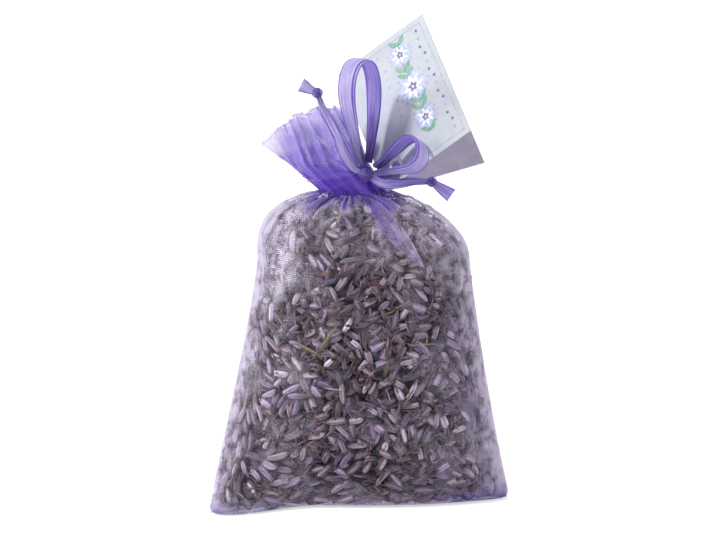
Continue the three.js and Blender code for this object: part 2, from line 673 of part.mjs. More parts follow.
// The right leg: out of the side opening, up through both holes of the tag and round to the knot.
function rightLegRoute() {
  const exit = casingPoint(Math.PI, (CASING_BOTTOM + CASING_TOP) / 2, -(LEG_RADIUS + CLEARANCE));
  const above = TAG_HOLE_FROM_FOLD * Math.tan(TAG_OPENING);
  const [back, aside, up] = LEG_ABOVE_TAG;
  const knotSide = KNOT.clone().add(new THREE.Vector3(KNOT_RADII[0] + CLEARANCE, 0, 0));
  const end = new THREE.Vector3(...LEG_END).add(knotSide);
  return smoothRoute([
    exit,
    fromTagHole(...LEG_BELOW_TAG),
    fromTagHole(0, 0, -LEG_CLEAR_OF_LEAF),
    fromTagHole(0, 0, above / 2),
    fromTagHole(0, 0, above + LEG_CLEAR_OF_LEAF),
    fromTagHole(back, aside, above + up),
    new THREE.Vector3(...LEG_BEFORE_END).add(end),
    end,
  ]);
}

function tagLeaf(width, holeFromFold, depth) {
  const shape = new THREE.Shape();
  shape.moveTo(CLEARANCE, 0);
  shape.lineTo(width, 0);
  shape.lineTo(width, TAG_LENGTH);
  shape.lineTo(CLEARANCE, TAG_LENGTH);
  shape.closePath();
  const hole = new THREE.Path();
  hole.absarc(holeFromFold, TAG_HOLE_FROM_END, TAG_HOLE_RADIUS, 0, 2 * Math.PI, true);
  shape.holes.push(hole);
  const settings = { depth: TAG_THICKNESS, bevelEnabled: false, curveSegments: HOLE_SEGMENTS };
  return new THREE.ExtrudeGeometry(shape, settings).translate(0, 0, depth);
}

function named(name, geometry, look) {
  const mesh = new THREE.Mesh(geometry, look);
  mesh.name = name;
  return mesh;
}

function buildTag() {
  const tag = new THREE.Group();
  const corner = new THREE.Vector3(-TAG_HOLE_FROM_FOLD, -TAG_HOLE_FROM_END, 0).applyMatrix4(TAG_BASIS);
  tag.position.copy(TAG_HOLE).add(corner);
  tag.quaternion.setFromRotationMatrix(TAG_BASIS);
  tag.add(named("tag_back_leaf", tagLeaf(TAG_BACK_WIDTH, TAG_HOLE_FROM_FOLD, -TAG_THICKNESS), CARD_MATERIAL));
  const front = new THREE.Group();
  front.rotation.y = -TAG_OPENING;
  const frontHole = TAG_HOLE_FROM_FOLD / Math.cos(TAG_OPENING);
  front.add(named("tag_front_leaf", tagLeaf(TAG_FRONT_WIDTH, frontHole, 0), CARD_MATERIAL));
  tag.add(front);
  return tag;
}

// Half width of a loop's ribbon, which is pinched at both ends of its route.
function pinchedHalfWidth(t) {
  const open = smooth(Math.min(t, 1 - t) / RIBBON_PINCH_SHARE);
  return THREE.MathUtils.lerp(RIBBON_PINCH, RIBBON_WIDTH, open) / 2;
}

// Loop plane: forward from the knot, across the loop, and the ribbon's width square to both
function loopFrame(riseDeg, turnDeg, forwardDeg) {
  const rise = THREE.MathUtils.degToRad(riseDeg);
  const turn = THREE.MathUtils.degToRad(turnDeg);
  const forward = THREE.MathUtils.degToRad(forwardDeg);
  const along = new THREE.Vector3(Math.cos(rise), -Math.tan(forward), Math.sin(rise)).normalize();
  const flat = new THREE.Vector3(-Math.sin(rise), 0, Math.cos(rise));
  const back = new THREE.Vector3().crossVectors(flat, along);
  const across = flat.clone().multiplyScalar(Math.cos(turn)).addScaledVector(back, Math.sin(turn));
  return { along, across, width: new THREE.Vector3().crossVectors(along, across) };
}

// One ribbon of a loop. The inner one lies inside the outer by inset.
function loopRibbon(route, frame, inset) {
  const flat = smoothRoute(route.map(([u, v]) => new THREE.Vector3(u, v, 0)));
  const points = Array.from({ length: LOOP_POINTS + 1 }, (_, i) => {
    const t = i / LOOP_POINTS;
    const tangent = flat.getTangent(t);
    const inside = new THREE.Vector3(tangent.y, -tangent.x, 0).multiplyScalar(inset);
    const p = flat.getPoint(t).add(inside);
    return KNOT.clone().addScaledVector(frame.along, p.x).addScaledVector(frame.across, p.y);
  });
  return band(smoothRoute(points), frame.width, pinchedHalfWidth, RIBBON_THICKNESS, LOOP_STEPS);
}

// One ribbon of a tail: layer 0 in front, layer 1 behind it.
function tailRibbon(route, across, layer) {
  const back = new THREE.Vector3(0, (layer - 0.5) * RIBBON_APART, 0);
  const points = route.map((p) => new THREE.Vector3(...p).add(KNOT).add(back));
  const halfWidth = (t) => TAIL_HALF_WIDTH + TAIL_SWELL * Math.sin(Math.PI * t);
  return band(smoothRoute(points), across, halfWidth, RIBBON_THICKNESS, TAIL_STEPS);
}

// The middle of the tail's small knot, past the end of its route. Two flared ribbon ends leave it.
function tailTip(route) {
  const end = new THREE.Vector3(...route[route.length - 1]);
  const before = new THREE.Vector3(...route[route.length - 2]);
  const forward = end.clone().sub(before).normalize();
  return end.addScaledVector(forward, TAIL_KNOT_RADIUS + CLEARANCE).add(KNOT);
}

function tailEnd(tip, direction, length, across, layer) {
  const start = tip.clone().addScaledVector(direction, TAIL_KNOT_RADIUS + CLEARANCE + TAIL_END_GAP);
  start.y += (layer - 0.5) * RIBBON_APART;
  const half = (t) => THREE.MathUtils.lerp(TAIL_END_NARROW, TAIL_END_WIDTH, Math.pow(t, TAIL_END_FLARE)) / 2;
  const stop = start.clone().addScaledVector(direction, length);
  const middle = start.clone().lerp(stop, 0.5);
  middle.y -= TAIL_END_BOW;
  return band(smoothRoute([start, middle, stop]), across, half, RIBBON_THICKNESS, TAIL_END_STEPS);
}

function buildTail(name, route, across, endDirection, endLength, endAcross) {
  const tail = new THREE.Group();
  const tip = tailTip(route);
  const lump = TAIL_KNOT_RADIUS;
  const ball = knot([lump, lump, lump], TAIL_KNOT_BANDS).translate(...tip);
  const leaving = endDirection.clone().normalize();
  ["front", "back"].forEach((word, layer) => {
    tail.add(named(`${name}_tail_${word}_ribbon`, tailRibbon(route, across, layer), RIBBON_MATERIAL));
    const end = tailEnd(tip, leaving, endLength, endAcross, layer);
    tail.add(named(`${name}_tail_${word}_end`, end, RIBBON_MATERIAL));
  });
  tail.add(named(`${name}_tail_knot`, ball, RIBBON_MATERIAL));
  return tail;
}

function buildBow() {
  const bow = new THREE.Group();
  const lump = knot(KNOT_RADII, KNOT_BANDS).translate(...KNOT);
  bow.add(named("bow_knot", lump, RIBBON_MATERIAL));
  const upper = loopFrame(UPPER_LOOP_RISE_DEG, -UPPER_LOOP_TURN_DEG, 0);
  const right = loopFrame(RIGHT_LOOP_RISE_DEG, RIGHT_LOOP_TURN_DEG, RIGHT_LOOP_FORWARD_DEG);
  ["outer", "inner"].forEach((word, layer) => {
    const inset = layer * RIBBON_APART;
    bow.add(named(`upper_loop_${word}_ribbon`, loopRibbon(UPPER_LOOP_ROUTE, upper, inset), RIBBON_MATERIAL));
    bow.add(named(`right_loop_${word}_ribbon`, loopRibbon(RIGHT_LOOP_ROUTE, right, inset), RIBBON_MATERIAL));
  });
  const leftEnd = [LEFT_END_DIRECTION, LEFT_END_LENGTH, LEFT_END_ACROSS];
  bow.add(buildTail("left", LEFT_TAIL_ROUTE, LEFT_TAIL_ACROSS, ...leftEnd));
  const rightEnd = [RIGHT_END_DIRECTION, RIGHT_END_LENGTH, RIGHT_END_ACROSS];
  bow.add(buildTail("right", RIGHT_TAIL_ROUTE, RIGHT_TAIL_ACROSS, ...rightEnd));
  const rightLeg = tube(rightLegRoute(), LEG_RADIUS, LEG_SIDES, 3 * LEG_STEPS);
  bow.add(named("left_drawstring_leg", leftLeg(), RIBBON_MATERIAL));
  bow.add(named("right_drawstring_leg", rightLeg, RIBBON_MATERIAL));
  return bow;
}

function buildPouch() {
  const pouch = new THREE.Group();
  const add = (name, geometry, look) => pouch.add(named(name, geometry, look));
  add("front_panel", panel(-1), CLOTH_MATERIAL);
  add("back_panel", panel(1), CLOTH_MATERIAL);
  add("left_side_seam", sideSeam(0), SEAM_MATERIAL);
  add("right_side_seam", sideSeam(Math.PI), SEAM_MATERIAL);
  add("bottom_seam", bottomSeam(), SEAM_MATERIAL);
  add("left_seam_thread", sideThread(0), THREAD_MATERIAL);
  add("right_seam_thread", sideThread(Math.PI), THREAD_MATERIAL);
  add("bottom_seam_thread", bottomThread(), THREAD_MATERIAL);
  add("lavender_filling", filling(), FILL_MATERIAL);
  add("front_casing", casing(0), CLOTH_MATERIAL);
  add("back_casing", casing(1), CLOTH_MATERIAL);
  add("casing_lining", casingLining(), CLOTH_MATERIAL);
  add("left_drawstring_run", drawstringRun(0, 0), RIBBON_MATERIAL);
  add("right_drawstring_run", drawstringRun(1, Math.PI), RIBBON_MATERIAL);
  add("casing_lower_thread", stitchRing(NECK_HEIGHT + STITCH_LINE / 2, CASING_BOTTOM), THREAD_MATERIAL);
  add("casing_upper_thread", stitchRing(CASING_TOP + STITCH_LINE / 2, CASING_TOP), THREAD_MATERIAL);
  add("front_frill", frill(-1), CLOTH_MATERIAL);
  add("back_frill", frill(1), CLOTH_MATERIAL);
  add("frill_corner_flap", frillFlap(), CLOTH_MATERIAL);
  return pouch;
}

const sachet = new THREE.Group();
sachet.add(buildPouch(), buildBow(), buildTag());

export default sachet;
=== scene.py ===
import math

import bpy
import numpy as np
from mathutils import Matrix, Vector


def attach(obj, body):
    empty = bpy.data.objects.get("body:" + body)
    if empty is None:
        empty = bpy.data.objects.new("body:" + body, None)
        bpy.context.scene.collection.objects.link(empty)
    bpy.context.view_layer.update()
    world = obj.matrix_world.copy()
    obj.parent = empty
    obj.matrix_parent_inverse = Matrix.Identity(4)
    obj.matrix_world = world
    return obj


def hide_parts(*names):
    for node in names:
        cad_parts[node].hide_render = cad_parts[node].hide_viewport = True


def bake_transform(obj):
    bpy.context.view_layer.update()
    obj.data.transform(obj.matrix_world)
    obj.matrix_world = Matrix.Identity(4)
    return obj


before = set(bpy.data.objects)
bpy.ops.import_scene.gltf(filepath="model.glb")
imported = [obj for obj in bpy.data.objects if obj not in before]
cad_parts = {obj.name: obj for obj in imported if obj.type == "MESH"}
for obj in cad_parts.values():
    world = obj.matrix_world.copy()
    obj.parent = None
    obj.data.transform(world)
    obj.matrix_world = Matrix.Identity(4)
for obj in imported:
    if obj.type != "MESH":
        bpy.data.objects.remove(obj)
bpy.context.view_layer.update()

MM = 0.001
WHITE = (1, 1, 1, 1)

# Camera: the image is 716 x 540, and a pixel is so many millimetres at the pouch's middle
PHOTO_WIDTH = 716
PIXEL = 0.332
CAMERA_RISE_DEG = 12
CAMERA_DISTANCE = 3000
CAMERA_AIM = (-0.5, 0, 78.3)
SENSOR_WIDTH = 36

# Pouch
BASE_HALF_WIDTH = 50.2
SHOULDER_HALF_WIDTH = 35.3
NECK_HALF_WIDTH = 11.2
BASE_HALF_DEPTH = 12.5
BELLY_HALF_DEPTH = 22.5
SHOULDER_HALF_DEPTH = 19
NECK_HALF_DEPTH = 6.4
BELLY_HEIGHT = 42
SHOULDER_HEIGHT = 82
NECK_HEIGHT = 104.6
BODY_SHIFT = 1.3
NECK_SHIFT = -2.7
SIDE_CURVE = 1.2
LOWER_BELLY_CURVE = 2.2
UPPER_BELLY_CURVE = 2
SHOULDER_ROUNDING = 2.2
SHOULDER_FALL = 0.6
LEFT_CORNER_FORWARD = 20
RIGHT_CORNER_BACK = 3
CORNER_HEIGHT = 17
CORNER_REACH = 37.65
GATHER_START = 57.4
GATHER_DEPTH = 0.15
GATHERS = 7
GATHER_UNEVENNESS = 1.3
GATHER_WAVES = 3
PANEL_GAP = 0.25
SEAM_WIDTH = 3
SEAM_TOP = 98.3

# Casing, frill and flap
CASING_BOTTOM = 105.9
CASING_TOP = 113.4
CASING_TOP_SHIFT = -9.4
CASING_TOP_HALF_WIDTH = 13
CASING_TOP_HALF_DEPTH = 6
SIDE_OPENING = math.radians(16)
FRILL_BOTTOM = 114.7
FRILL_LEFT = (-23.4, 5.8)
FRILL_MIDDLE = (-9, 21.5)
FRILL_RIGHT = (5.6, 17.5)
FRILL_PLEATS = 8
FRILL_PLEAT_DEPTH = 2.6
FLAP_LENGTH = 27
FLAP_WIDTH = 5.6
FLAP_RISE = math.radians(-51)
FLAP_ROOT = math.radians(129.6)
FLAP_GAP = 0.9

# Ribbon drawstrings
RIBBON_WIDTH = 6.4
RIBBON_PINCH = 2.6
RIBBON_PINCH_SHARE = 0.28
RIBBON_THICKNESS = 0.16
RIBBON_APART = 0.45
RIBBON_COLUMNS = 13
TAIL_HALF = 1.7
TAIL_KNOT_RADIUS = 1.7
TAIL_KNOT_STEP = 2
TAIL_END_STEP = 1.9
TAIL_END_HALF = 2.3
KNOT = np.array([2.2, -7.3, 112.4])
KNOT_RADII = np.array([3, 2.5, 2.7])
UPPER_LOOP_RISE = math.radians(93.6)
UPPER_LOOP_TURN = math.radians(-48)
UPPER_LOOP_ROUTE = [
    (3.4, 1.7), (8.6, 3.6), (17.2, 6), (26, 7.7), (33, 6.9), (37.4, 4), (38.6, 0),
    (37.2, -3.7), (32, -5.9), (25.4, -6.2), (16.8, -5), (8.4, -2.9), (3.4, -1.5),
]
RIGHT_LOOP_RISE = math.radians(28)
RIGHT_LOOP_TURN = math.radians(45)
RIGHT_LOOP_FORWARD = math.radians(20)
RIGHT_LOOP_ROUTE = [
    (3.6, 1.3), (7.4, 2), (12.4, 4.2), (17.4, 5.9), (21.2, 4.4), (22.9, 0.2), (21.6, -4.2),
    (17.6, -5.9), (12.6, -4.7), (7.6, -2.9), (3.6, -1.6),
]
LEFT_TAIL_ROUTE = [
    (-3.7, -0.9, 1.6), (-5.9, -2.4, 5.1), (-8.2, -3.6, 10.2), (-10.7, -4.4, 15.9), (-13.3, -4.6, 21.6),
    (-15.3, -4.6, 26.2),
]
RIGHT_TAIL_ROUTE = [
    (3.3, -1.2, -1.8), (6.4, -2.6, -2.7), (10.8, -3.8, -2.6), (15.2, -4.4, -1.8), (19.6, -4.6, -1.8),
]

# Card tag
TAG_LENGTH = 48
TAG_FRONT_WIDTH = 36.5
TAG_THICKNESS = 0.4
TAG_HOLE_FROM_FOLD = 5.2
TAG_HOLE_FROM_END = 6
TAG_OPENING = math.radians(38)
TAG_FOLD_DIRECTION = np.array([-0.332, 0.641, 0.689])
TAG_BACK_DIRECTION = np.array([0.942, 0.243, 0.229])
TAG_HOLE = np.array([12.1, -2, 112])


def smooth(t):
    s = np.clip(t, 0, 1)
    return s * s * (3 - 2 * s)


def mix(a, b, t):
    return a + (b - a) * t


def unit(v):
    v = np.asarray(v, float)
    return v / np.maximum(np.linalg.norm(v, axis=-1, keepdims=True), 1e-9)


def srgb(red, green, blue):
    """A screen colour of 0 to 255 as the linear colour that shaders take."""
    share = np.array([red, green, blue]) / 255
    linear = np.where(share <= 0.04045, share / 12.92, ((share + 0.055) / 1.055) ** 2.4)
    return (*linear.tolist(), 1.0)


def ripple(u, v, size, seed):
    """Smooth uneven waves of about that size, from about -1 to 1."""
    rng = np.random.default_rng(seed)
    total = np.zeros(np.broadcast(u, v).shape)
    for _ in range(6):
        turn, phase = rng.uniform(0, 2 * math.pi, 2)
        pace = 2 * math.pi * rng.uniform(0.7, 1.6) / size
        total = total + np.sin((u * math.cos(turn) + v * math.sin(turn)) * pace + phase)
    return total / 3


def spline(points, t):
    """Points along a smooth curve through the given ones."""
    p = np.asarray(points, float)
    p = np.vstack([2 * p[0] - p[1], p, 2 * p[-1] - p[-2]])
    place = np.clip(t, 0, 1) * (len(p) - 3)
    i = np.minimum(place.astype(int), len(p) - 4)
    w = (place - i)[:, None]
    a, b, c, d = p[i], p[i + 1], p[i + 2], p[i + 3]
    start, stop = (c - a) / 2, (d - b) / 2
    rise = 3 * w ** 2 - 2 * w ** 3
    return (1 - rise) * b + rise * c + (w ** 3 - 2 * w ** 2 + w) * start + (w ** 3 - w ** 2) * stop


def run_along(path):
    """The distance along a line at each of its points."""
    return np.concatenate([[0], np.cumsum(np.linalg.norm(np.diff(path, axis=0), axis=1))])


# Meshes
def grid_faces(rows, columns, closed=False):
    i, j = np.meshgrid(np.arange(rows - 1), np.arange(columns if closed else columns - 1), indexing="ij")
    n = (j + 1) % columns
    quads = np.stack([i * columns + j, i * columns + n, (i + 1) * columns + n, (i + 1) * columns + j], -1)
    return quads.reshape(-1, 4).tolist()


def tube_faces(rows, columns):
    """A closed grid's faces, with both ends capped."""
    last = (rows - 1) * columns
    caps = [list(range(columns))[::-1], list(range(last, last + columns))]
    return grid_faces(rows, columns, closed=True) + caps


def set_attribute(mesh, name, values):
    values = np.asarray(values, np.float32)
    if values.ndim == 1:
        mesh.attributes.new(name, "FLOAT", "POINT").data.foreach_set("value", values)
    elif values.shape[1] == 4:
        mesh.attributes.new(name, "FLOAT_COLOR", "POINT").data.foreach_set("color", values.ravel())
    else:
        mesh.attributes.new(name, "FLOAT_VECTOR", "POINT").data.foreach_set("vector", values.ravel())


def link_object(name, data):
    made = bpy.data.objects.new(name, data)
    bpy.context.scene.collection.objects.link(made)
    return made


def make_mesh(name, points, faces, look):
    mesh = bpy.data.meshes.new(name)
    mesh.from_pydata((np.asarray(points, float).reshape(-1, 3) * MM).tolist(), [], faces)
    mesh.materials.append(look)
    return mesh


def make_piece(name, points, faces, look, body, attributes):
    mesh = make_mesh(name, points, faces, look)
    mesh.polygons.foreach_set("use_smooth", np.ones(len(mesh.polygons), bool))
    for key, values in attributes.items():
        set_attribute(mesh, key, values)
    piece = link_object(name, mesh)
    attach(piece, body)
    return piece


def grid_normals(points):
    along = np.gradient(points, axis=1)
    up = np.gradient(points, axis=0)
    return unit(np.cross(along, up))


def arc_coordinates(points):
    """Distances along a grid's rows, from its middle column, and up its columns."""
    across = np.linalg.norm(np.diff(points, axis=1), axis=2)
    u = np.concatenate([np.zeros((len(points), 1)), np.cumsum(across, axis=1)], axis=1)
    u = u - u[:, [u.shape[1] // 2]]
    up = np.linalg.norm(np.diff(points, axis=0), axis=2)
    v = np.concatenate([np.zeros((1, points.shape[1])), np.cumsum(up, axis=0)], axis=0)
    return np.stack([u, v, np.zeros_like(u)], -1).reshape(-1, 3)


def make_cloth(name, points, veil, bunch_and_shade, look):
    """A grid of cloth on the pouch, with how dense it is at each point, and how deep its colour runs there
    from bunching and from painted shade.
    """
    shape = points.shape[:2]
    looks = {"weave": arc_coordinates(points)}
    looks["veil"] = np.broadcast_to(veil, shape).ravel()
    looks["bunch_and_shade"] = np.broadcast_to(bunch_and_shade, shape).ravel()
    return make_piece(name, points, grid_faces(*shape), look, "pouch", looks)


def weave_places(across, along):
    return np.stack(np.broadcast_arrays(across, along, 0.0), -1).reshape(-1, 3)


def tube_points(centre, hint, size, turns):
    """Rings around a line, of the size given for each of them."""
    tangent = unit(np.gradient(centre, axis=0))
    side = unit(np.cross(tangent, hint))
    up = np.cross(tangent, side)
    points = centre[:, None, :] + side[:, None, :] * (size * np.cos(turns))[..., None]
    return points + up[:, None, :] * (size * np.sin(turns))[..., None]


# Materials
def add(tree, kind, inputs=None, **settings):
    made = tree.nodes.new(kind)
    for key, value in settings.items():
        setattr(made, key, value)
    for key, value in (inputs or {}).items():
        if isinstance(value, bpy.types.NodeSocket):
            tree.links.new(value, made.inputs[key])
        else:
            made.inputs[key].default_value = value
    return made


def math_node(tree, operation, a, b=0.0, clamp=False):
    return add(tree, "ShaderNodeMath", {0: a, 1: b}, operation=operation, use_clamp=clamp).outputs[0]


def plus(tree, a, b):
    return math_node(tree, "ADD", a, b)


def times(tree, a, b, clamp=False):
    return math_node(tree, "MULTIPLY", a, b, clamp)


def spread(tree, value, low, high, to_low=0.0, to_high=1.0):
    inputs = {"Value": value, "From Min": low, "From Max": high, "To Min": to_low, "To Max": to_high}
    return add(tree, "ShaderNodeMapRange", inputs, interpolation_type="SMOOTHSTEP").outputs["Result"]


def blend_colours(tree, share, a, b):
    return add(tree, "ShaderNodeMix", {0: share, 6: a, 7: b}, data_type="RGBA").outputs[2]


def attribute(tree, name, output="Fac"):
    return add(tree, "ShaderNodeAttribute", attribute_name=name).outputs[output]


def noise(tree, scale, detail=3.0, vector=None):
    if vector is None:
        vector = add(tree, "ShaderNodeTexCoord").outputs["Object"]
    inputs = {"Scale": scale, "Detail": detail, "Vector": vector}
    return add(tree, "ShaderNodeTexNoise", inputs).outputs["Fac"]


def weave_axes(tree):
    """Places across and along the threads."""
    parts = add(tree, "ShaderNodeSeparateXYZ", {0: attribute(tree, "weave", "Vector")})
    return parts.outputs["X"], parts.outputs["Y"]


def weave_noise(tree, across, along):
    """Unevenness of the cloth, stretched along its threads."""
    inputs = {"Vector": attribute(tree, "weave", "Vector"), "Scale": (across, along, 1)}
    return noise(tree, 1.0, 3.0, add(tree, "ShaderNodeMapping", inputs).outputs[0])


def new_material(name, roughness, **sockets):
    look = bpy.data.materials.new(name)
    look.use_nodes = True
    tree = look.node_tree
    shader = tree.nodes["Principled BSDF"]
    shader.inputs["Roughness"].default_value = roughness
    for key, value in sockets.items():
        shader.inputs[key.replace("_", " ")].default_value = value
    return look, tree, shader


def thread_wave(tree, place, pitch, low, high):
    return spread(tree, math_node(tree, "SINE", times(tree, place, 2 * math.pi / pitch)), low, high)


def set_surface(tree, shader):
    tree.links.new(shader.outputs[0], tree.nodes["Material Output"].inputs["Surface"])


def set_bump(tree, shader, strength, distance, height):
    bump = add(tree, "ShaderNodeBump", {"Strength": strength, "Distance": distance, "Height": height})
    tree.links.new(bump.outputs["Normal"], shader.inputs["Normal"])


def make_sheer(tree, shader, colour, lets_through, opacity, tint):
    """Cloth that passes light from behind, and is clear where it isn't opaque."""
    through = add(tree, "ShaderNodeBsdfTranslucent", {"Color": colour})
    cloth = add(tree, "ShaderNodeMixShader", {0: lets_through, 1: shader.outputs[0], 2: through.outputs[0]})
    clear = add(tree, "ShaderNodeBsdfTransparent", {"Color": tint})
    veiled = add(tree, "ShaderNodeMixShader", {0: opacity, 1: clear.outputs[0], 2: cloth.outputs[0]})
    set_surface(tree, veiled)


def organza(name, pale, deep, pitch, gap, sparkle, lets_through):
    """Sheer plain weave: threads with open gaps between them, dyed, and denser where it is bunched; its
    colour deepens with bunching and with painted shade, and its thread noise carries painted glints.
    """
    sheen = {"Sheen_Weight": 0.35, "Sheen_Roughness": 0.4}
    look, tree, shader = new_material(name, 0.5, Specular_IOR_Level=0.35, **sheen)
    warp, weft = (thread_wave(tree, place, pitch, -0.1, 0.7) for place in weave_axes(tree))
    threads = math_node(tree, "MAXIMUM", warp, weft)
    slub = plus(tree, times(tree, noise(tree, 1900, 1.0), 0.4), times(tree, noise(tree, 260, 2.0), 0.6))
    dense = spread(tree, threads, 0, 1, gap, 1.55)
    # Coarse noise thickens and thins the threads: partly real slubs, partly painted glints where the threads
    # catch the light; sparkle sets how strong they are.
    slub_and_glints = spread(tree, slub, 0.38, 0.64, 1 - sparkle, 1 + sparkle)
    opacity = times(tree, attribute(tree, "veil"), times(tree, dense, slub_and_glints), True)
    # The bunch_and_shade share deepens the colour towards violet, both where the cloth is bunched and where
    # shade is painted.
    colour = blend_colours(tree, attribute(tree, "bunch_and_shade"), pale, deep)
    tree.links.new(colour, shader.inputs["Base Color"])
    set_bump(tree, shader, 0.25, 0.0001, threads)
    make_sheer(tree, shader, colour, lets_through, opacity, WHITE)
    return look


def satin():
    """Woven satin ribbon: long floating yarns, and a plain selvedge along both edges."""
    look, tree, shader = new_material("satin ribbon", 0.3, Sheen_Weight=0.3, Specular_IOR_Level=0.7)
    across, along = weave_axes(tree)
    yarn = thread_wave(tree, across, 0.32, -1, 1)
    pick = thread_wave(tree, along, 0.5, -1, 1)
    selvedge = spread(tree, attribute(tree, "edge"), 0.8, 0.9)
    tight = attribute(tree, "tight")
    streak = weave_noise(tree, 2.6, 0.07)
    # The face's streaks blend towards near-white: painted sheen along the yarns.
    painted_sheen = spread(tree, streak, 0.36, 0.62)
    face = blend_colours(tree, painted_sheen, srgb(206, 192, 240), srgb(255, 253, 255))
    back = blend_colours(tree, painted_sheen, srgb(146, 126, 206), srgb(214, 200, 242))
    # The back colour is darker: partly the satin's duller back, partly painted shade.
    colour = blend_colours(tree, attribute(tree, "dull_shaded_back"), face, back)
    colour = blend_colours(tree, selvedge, colour, srgb(124, 98, 206))
    colour = blend_colours(tree, tight, colour, srgb(92, 70, 164))
    tree.links.new(colour, shader.inputs["Base Color"])
    gloss = spread(tree, streak, 0.2, 0.8, 0.26, 0.42)
    tree.links.new(plus(tree, gloss, times(tree, selvedge, 0.2)), shader.inputs["Roughness"])
    opacity = math_node(tree, "MAXIMUM", spread(tree, selvedge, 0, 1, 0.5, 0.76), tight)
    height = plus(tree, times(tree, yarn, 0.6), times(tree, pick, 0.4))
    crinkle = times(tree, weave_noise(tree, 0.9, 0.5), 16.0)
    raised = plus(tree, plus(tree, height, crinkle), times(tree, selvedge, 1.5))
    set_bump(tree, shader, 0.3, 0.00008, raised)
    make_sheer(tree, shader, colour, 0.3, opacity, srgb(237, 230, 253))
    return look


def sewing_thread():
    """Two-ply thread, its twist in the colour and the bump."""
    look, tree, shader = new_material("sewing thread", 0.6, Sheen_Weight=0.4)
    twist = thread_wave(tree, plus(tree, *weave_axes(tree)), 0.4, -1, 1)
    colour = blend_colours(tree, twist, srgb(96, 74, 168), srgb(140, 122, 204))
    tree.links.new(colour, shader.inputs["Base Color"])
    set_bump(tree, shader, 0.4, 0.0001, twist)
    return look


def card(name, pale, dark):
    """Coated card: faint cloudiness of the paper, and its fibres in the bump."""
    look, tree, shader = new_material(name, 0.42, Specular_IOR_Level=0.4)
    cloud = spread(tree, noise(tree, 260, 4.0), 0.35, 0.65)
    tree.links.new(blend_colours(tree, cloud, dark, pale), shader.inputs["Base Color"])
    fibre = noise(tree, 3500, 3.0)
    tree.links.new(spread(tree, fibre, 0.3, 0.7, 0.36, 0.5), shader.inputs["Roughness"])
    set_bump(tree, shader, 0.12, 0.00006, fibre)
    return look


def toned(name, roughness, sheen, grain, grain_depth):
    """A dried plant or printed surface: each piece's own colour, with a fine grain."""
    look, tree, shader = new_material(name, roughness, Sheen_Weight=sheen, Specular_IOR_Level=0.25)
    speck = noise(tree, grain, 3.0)
    inputs = {0: attribute(tree, "tone", "Color"), 1: spread(tree, speck, 0.25, 0.75, 0.72, 1.18)}
    tone = add(tree, "ShaderNodeVectorMath", inputs, operation="MULTIPLY")
    tree.links.new(tone.outputs[0], shader.inputs["Base Color"])
    set_bump(tree, shader, grain_depth, 0.0002, speck)
    return look


ORGANZA = organza("organza", srgb(241, 231, 253), srgb(116, 84, 184), 0.62, 0.2, 0.6, 0.12)
FRILL_ORGANZA = organza("frill organza", srgb(204, 190, 230), srgb(140, 96, 236), 0.5, 0.34, 0.15, 0.24)
SATIN = satin()
THREAD = sewing_thread()
CARD = card("tag card", srgb(200, 206, 212), srgb(193, 199, 207))
CARD_INSIDE = card("tag card inside", srgb(208, 198, 222), srgb(196, 186, 211))
BUD = toned("dried lavender", 0.8, 0.25, 1400, 0.4)
INK = toned("printed ink", 0.5, 0.0, 900, 0.05)


# Pouch shape
def shoulder_taper(height):
    t = np.clip((height - SHOULDER_HEIGHT) / (NECK_HEIGHT - SHOULDER_HEIGHT), 0, 1)
    return (1 - t ** SHOULDER_ROUNDING) ** SHOULDER_FALL


def half_width(height):
    below = np.clip(1 - height / SHOULDER_HEIGHT, 0, 1) ** SIDE_CURVE
    low = mix(SHOULDER_HALF_WIDTH, BASE_HALF_WIDTH, below)
    high = mix(NECK_HALF_WIDTH, SHOULDER_HALF_WIDTH, shoulder_taper(height))
    return np.where(height <= SHOULDER_HEIGHT, low, high)


def half_depth(height):
    below = np.clip(1 - height / BELLY_HEIGHT, 0, 1) ** LOWER_BELLY_CURVE
    above = np.clip((height - BELLY_HEIGHT) / (SHOULDER_HEIGHT - BELLY_HEIGHT), 0, 1) ** UPPER_BELLY_CURVE
    low = mix(BELLY_HALF_DEPTH, BASE_HALF_DEPTH, below)
    middle = mix(BELLY_HALF_DEPTH, SHOULDER_HALF_DEPTH, above)
    high = mix(NECK_HALF_DEPTH, SHOULDER_HALF_DEPTH, shoulder_taper(height))
    return np.where(height <= BELLY_HEIGHT, low, np.where(height <= SHOULDER_HEIGHT, middle, high))


def pouch_shift(height):
    neck = smooth((height - SHOULDER_HEIGHT) / (NECK_HEIGHT - SHOULDER_HEIGHT))
    return BODY_SHIFT * smooth(height / SHOULDER_HEIGHT) * (1 - neck) + NECK_SHIFT * neck


def corner_forward(x, height):
    start = BASE_HALF_WIDTH - CORNER_REACH
    left = smooth((-x - start) / CORNER_REACH)
    right = smooth((x - start) / CORNER_REACH)
    return np.exp(-((height / CORNER_HEIGHT) ** 2)) * (RIGHT_CORNER_BACK * right - LEFT_CORNER_FORWARD * left)


def gather(angle, height):
    growth = smooth((height - GATHER_START) / (NECK_HEIGHT - GATHER_START))
    wave = np.cos(2 * GATHERS * angle + GATHER_UNEVENNESS * np.sin(GATHER_WAVES * angle))
    return GATHER_DEPTH * growth * wave


def pouch_point(side, angle, height, inset=0.0, side_inset=0.0, out=1.0, gap=PANEL_GAP):
    rise = smooth((height - GATHER_START) / (SHOULDER_HEIGHT - GATHER_START))
    wide = half_width(np.minimum(height + side_inset * rise, NECK_HEIGHT)) - side_inset
    deep = half_depth(np.minimum(height + inset * rise, NECK_HEIGHT)) - inset
    x = pouch_shift(height) - wide * np.cos(angle)
    bulge = deep * np.sin(angle) * (1 + gather(angle, height))
    y = side * (gap + out * bulge) + corner_forward(x, height)
    return np.stack(np.broadcast_arrays(x, y, height), -1)


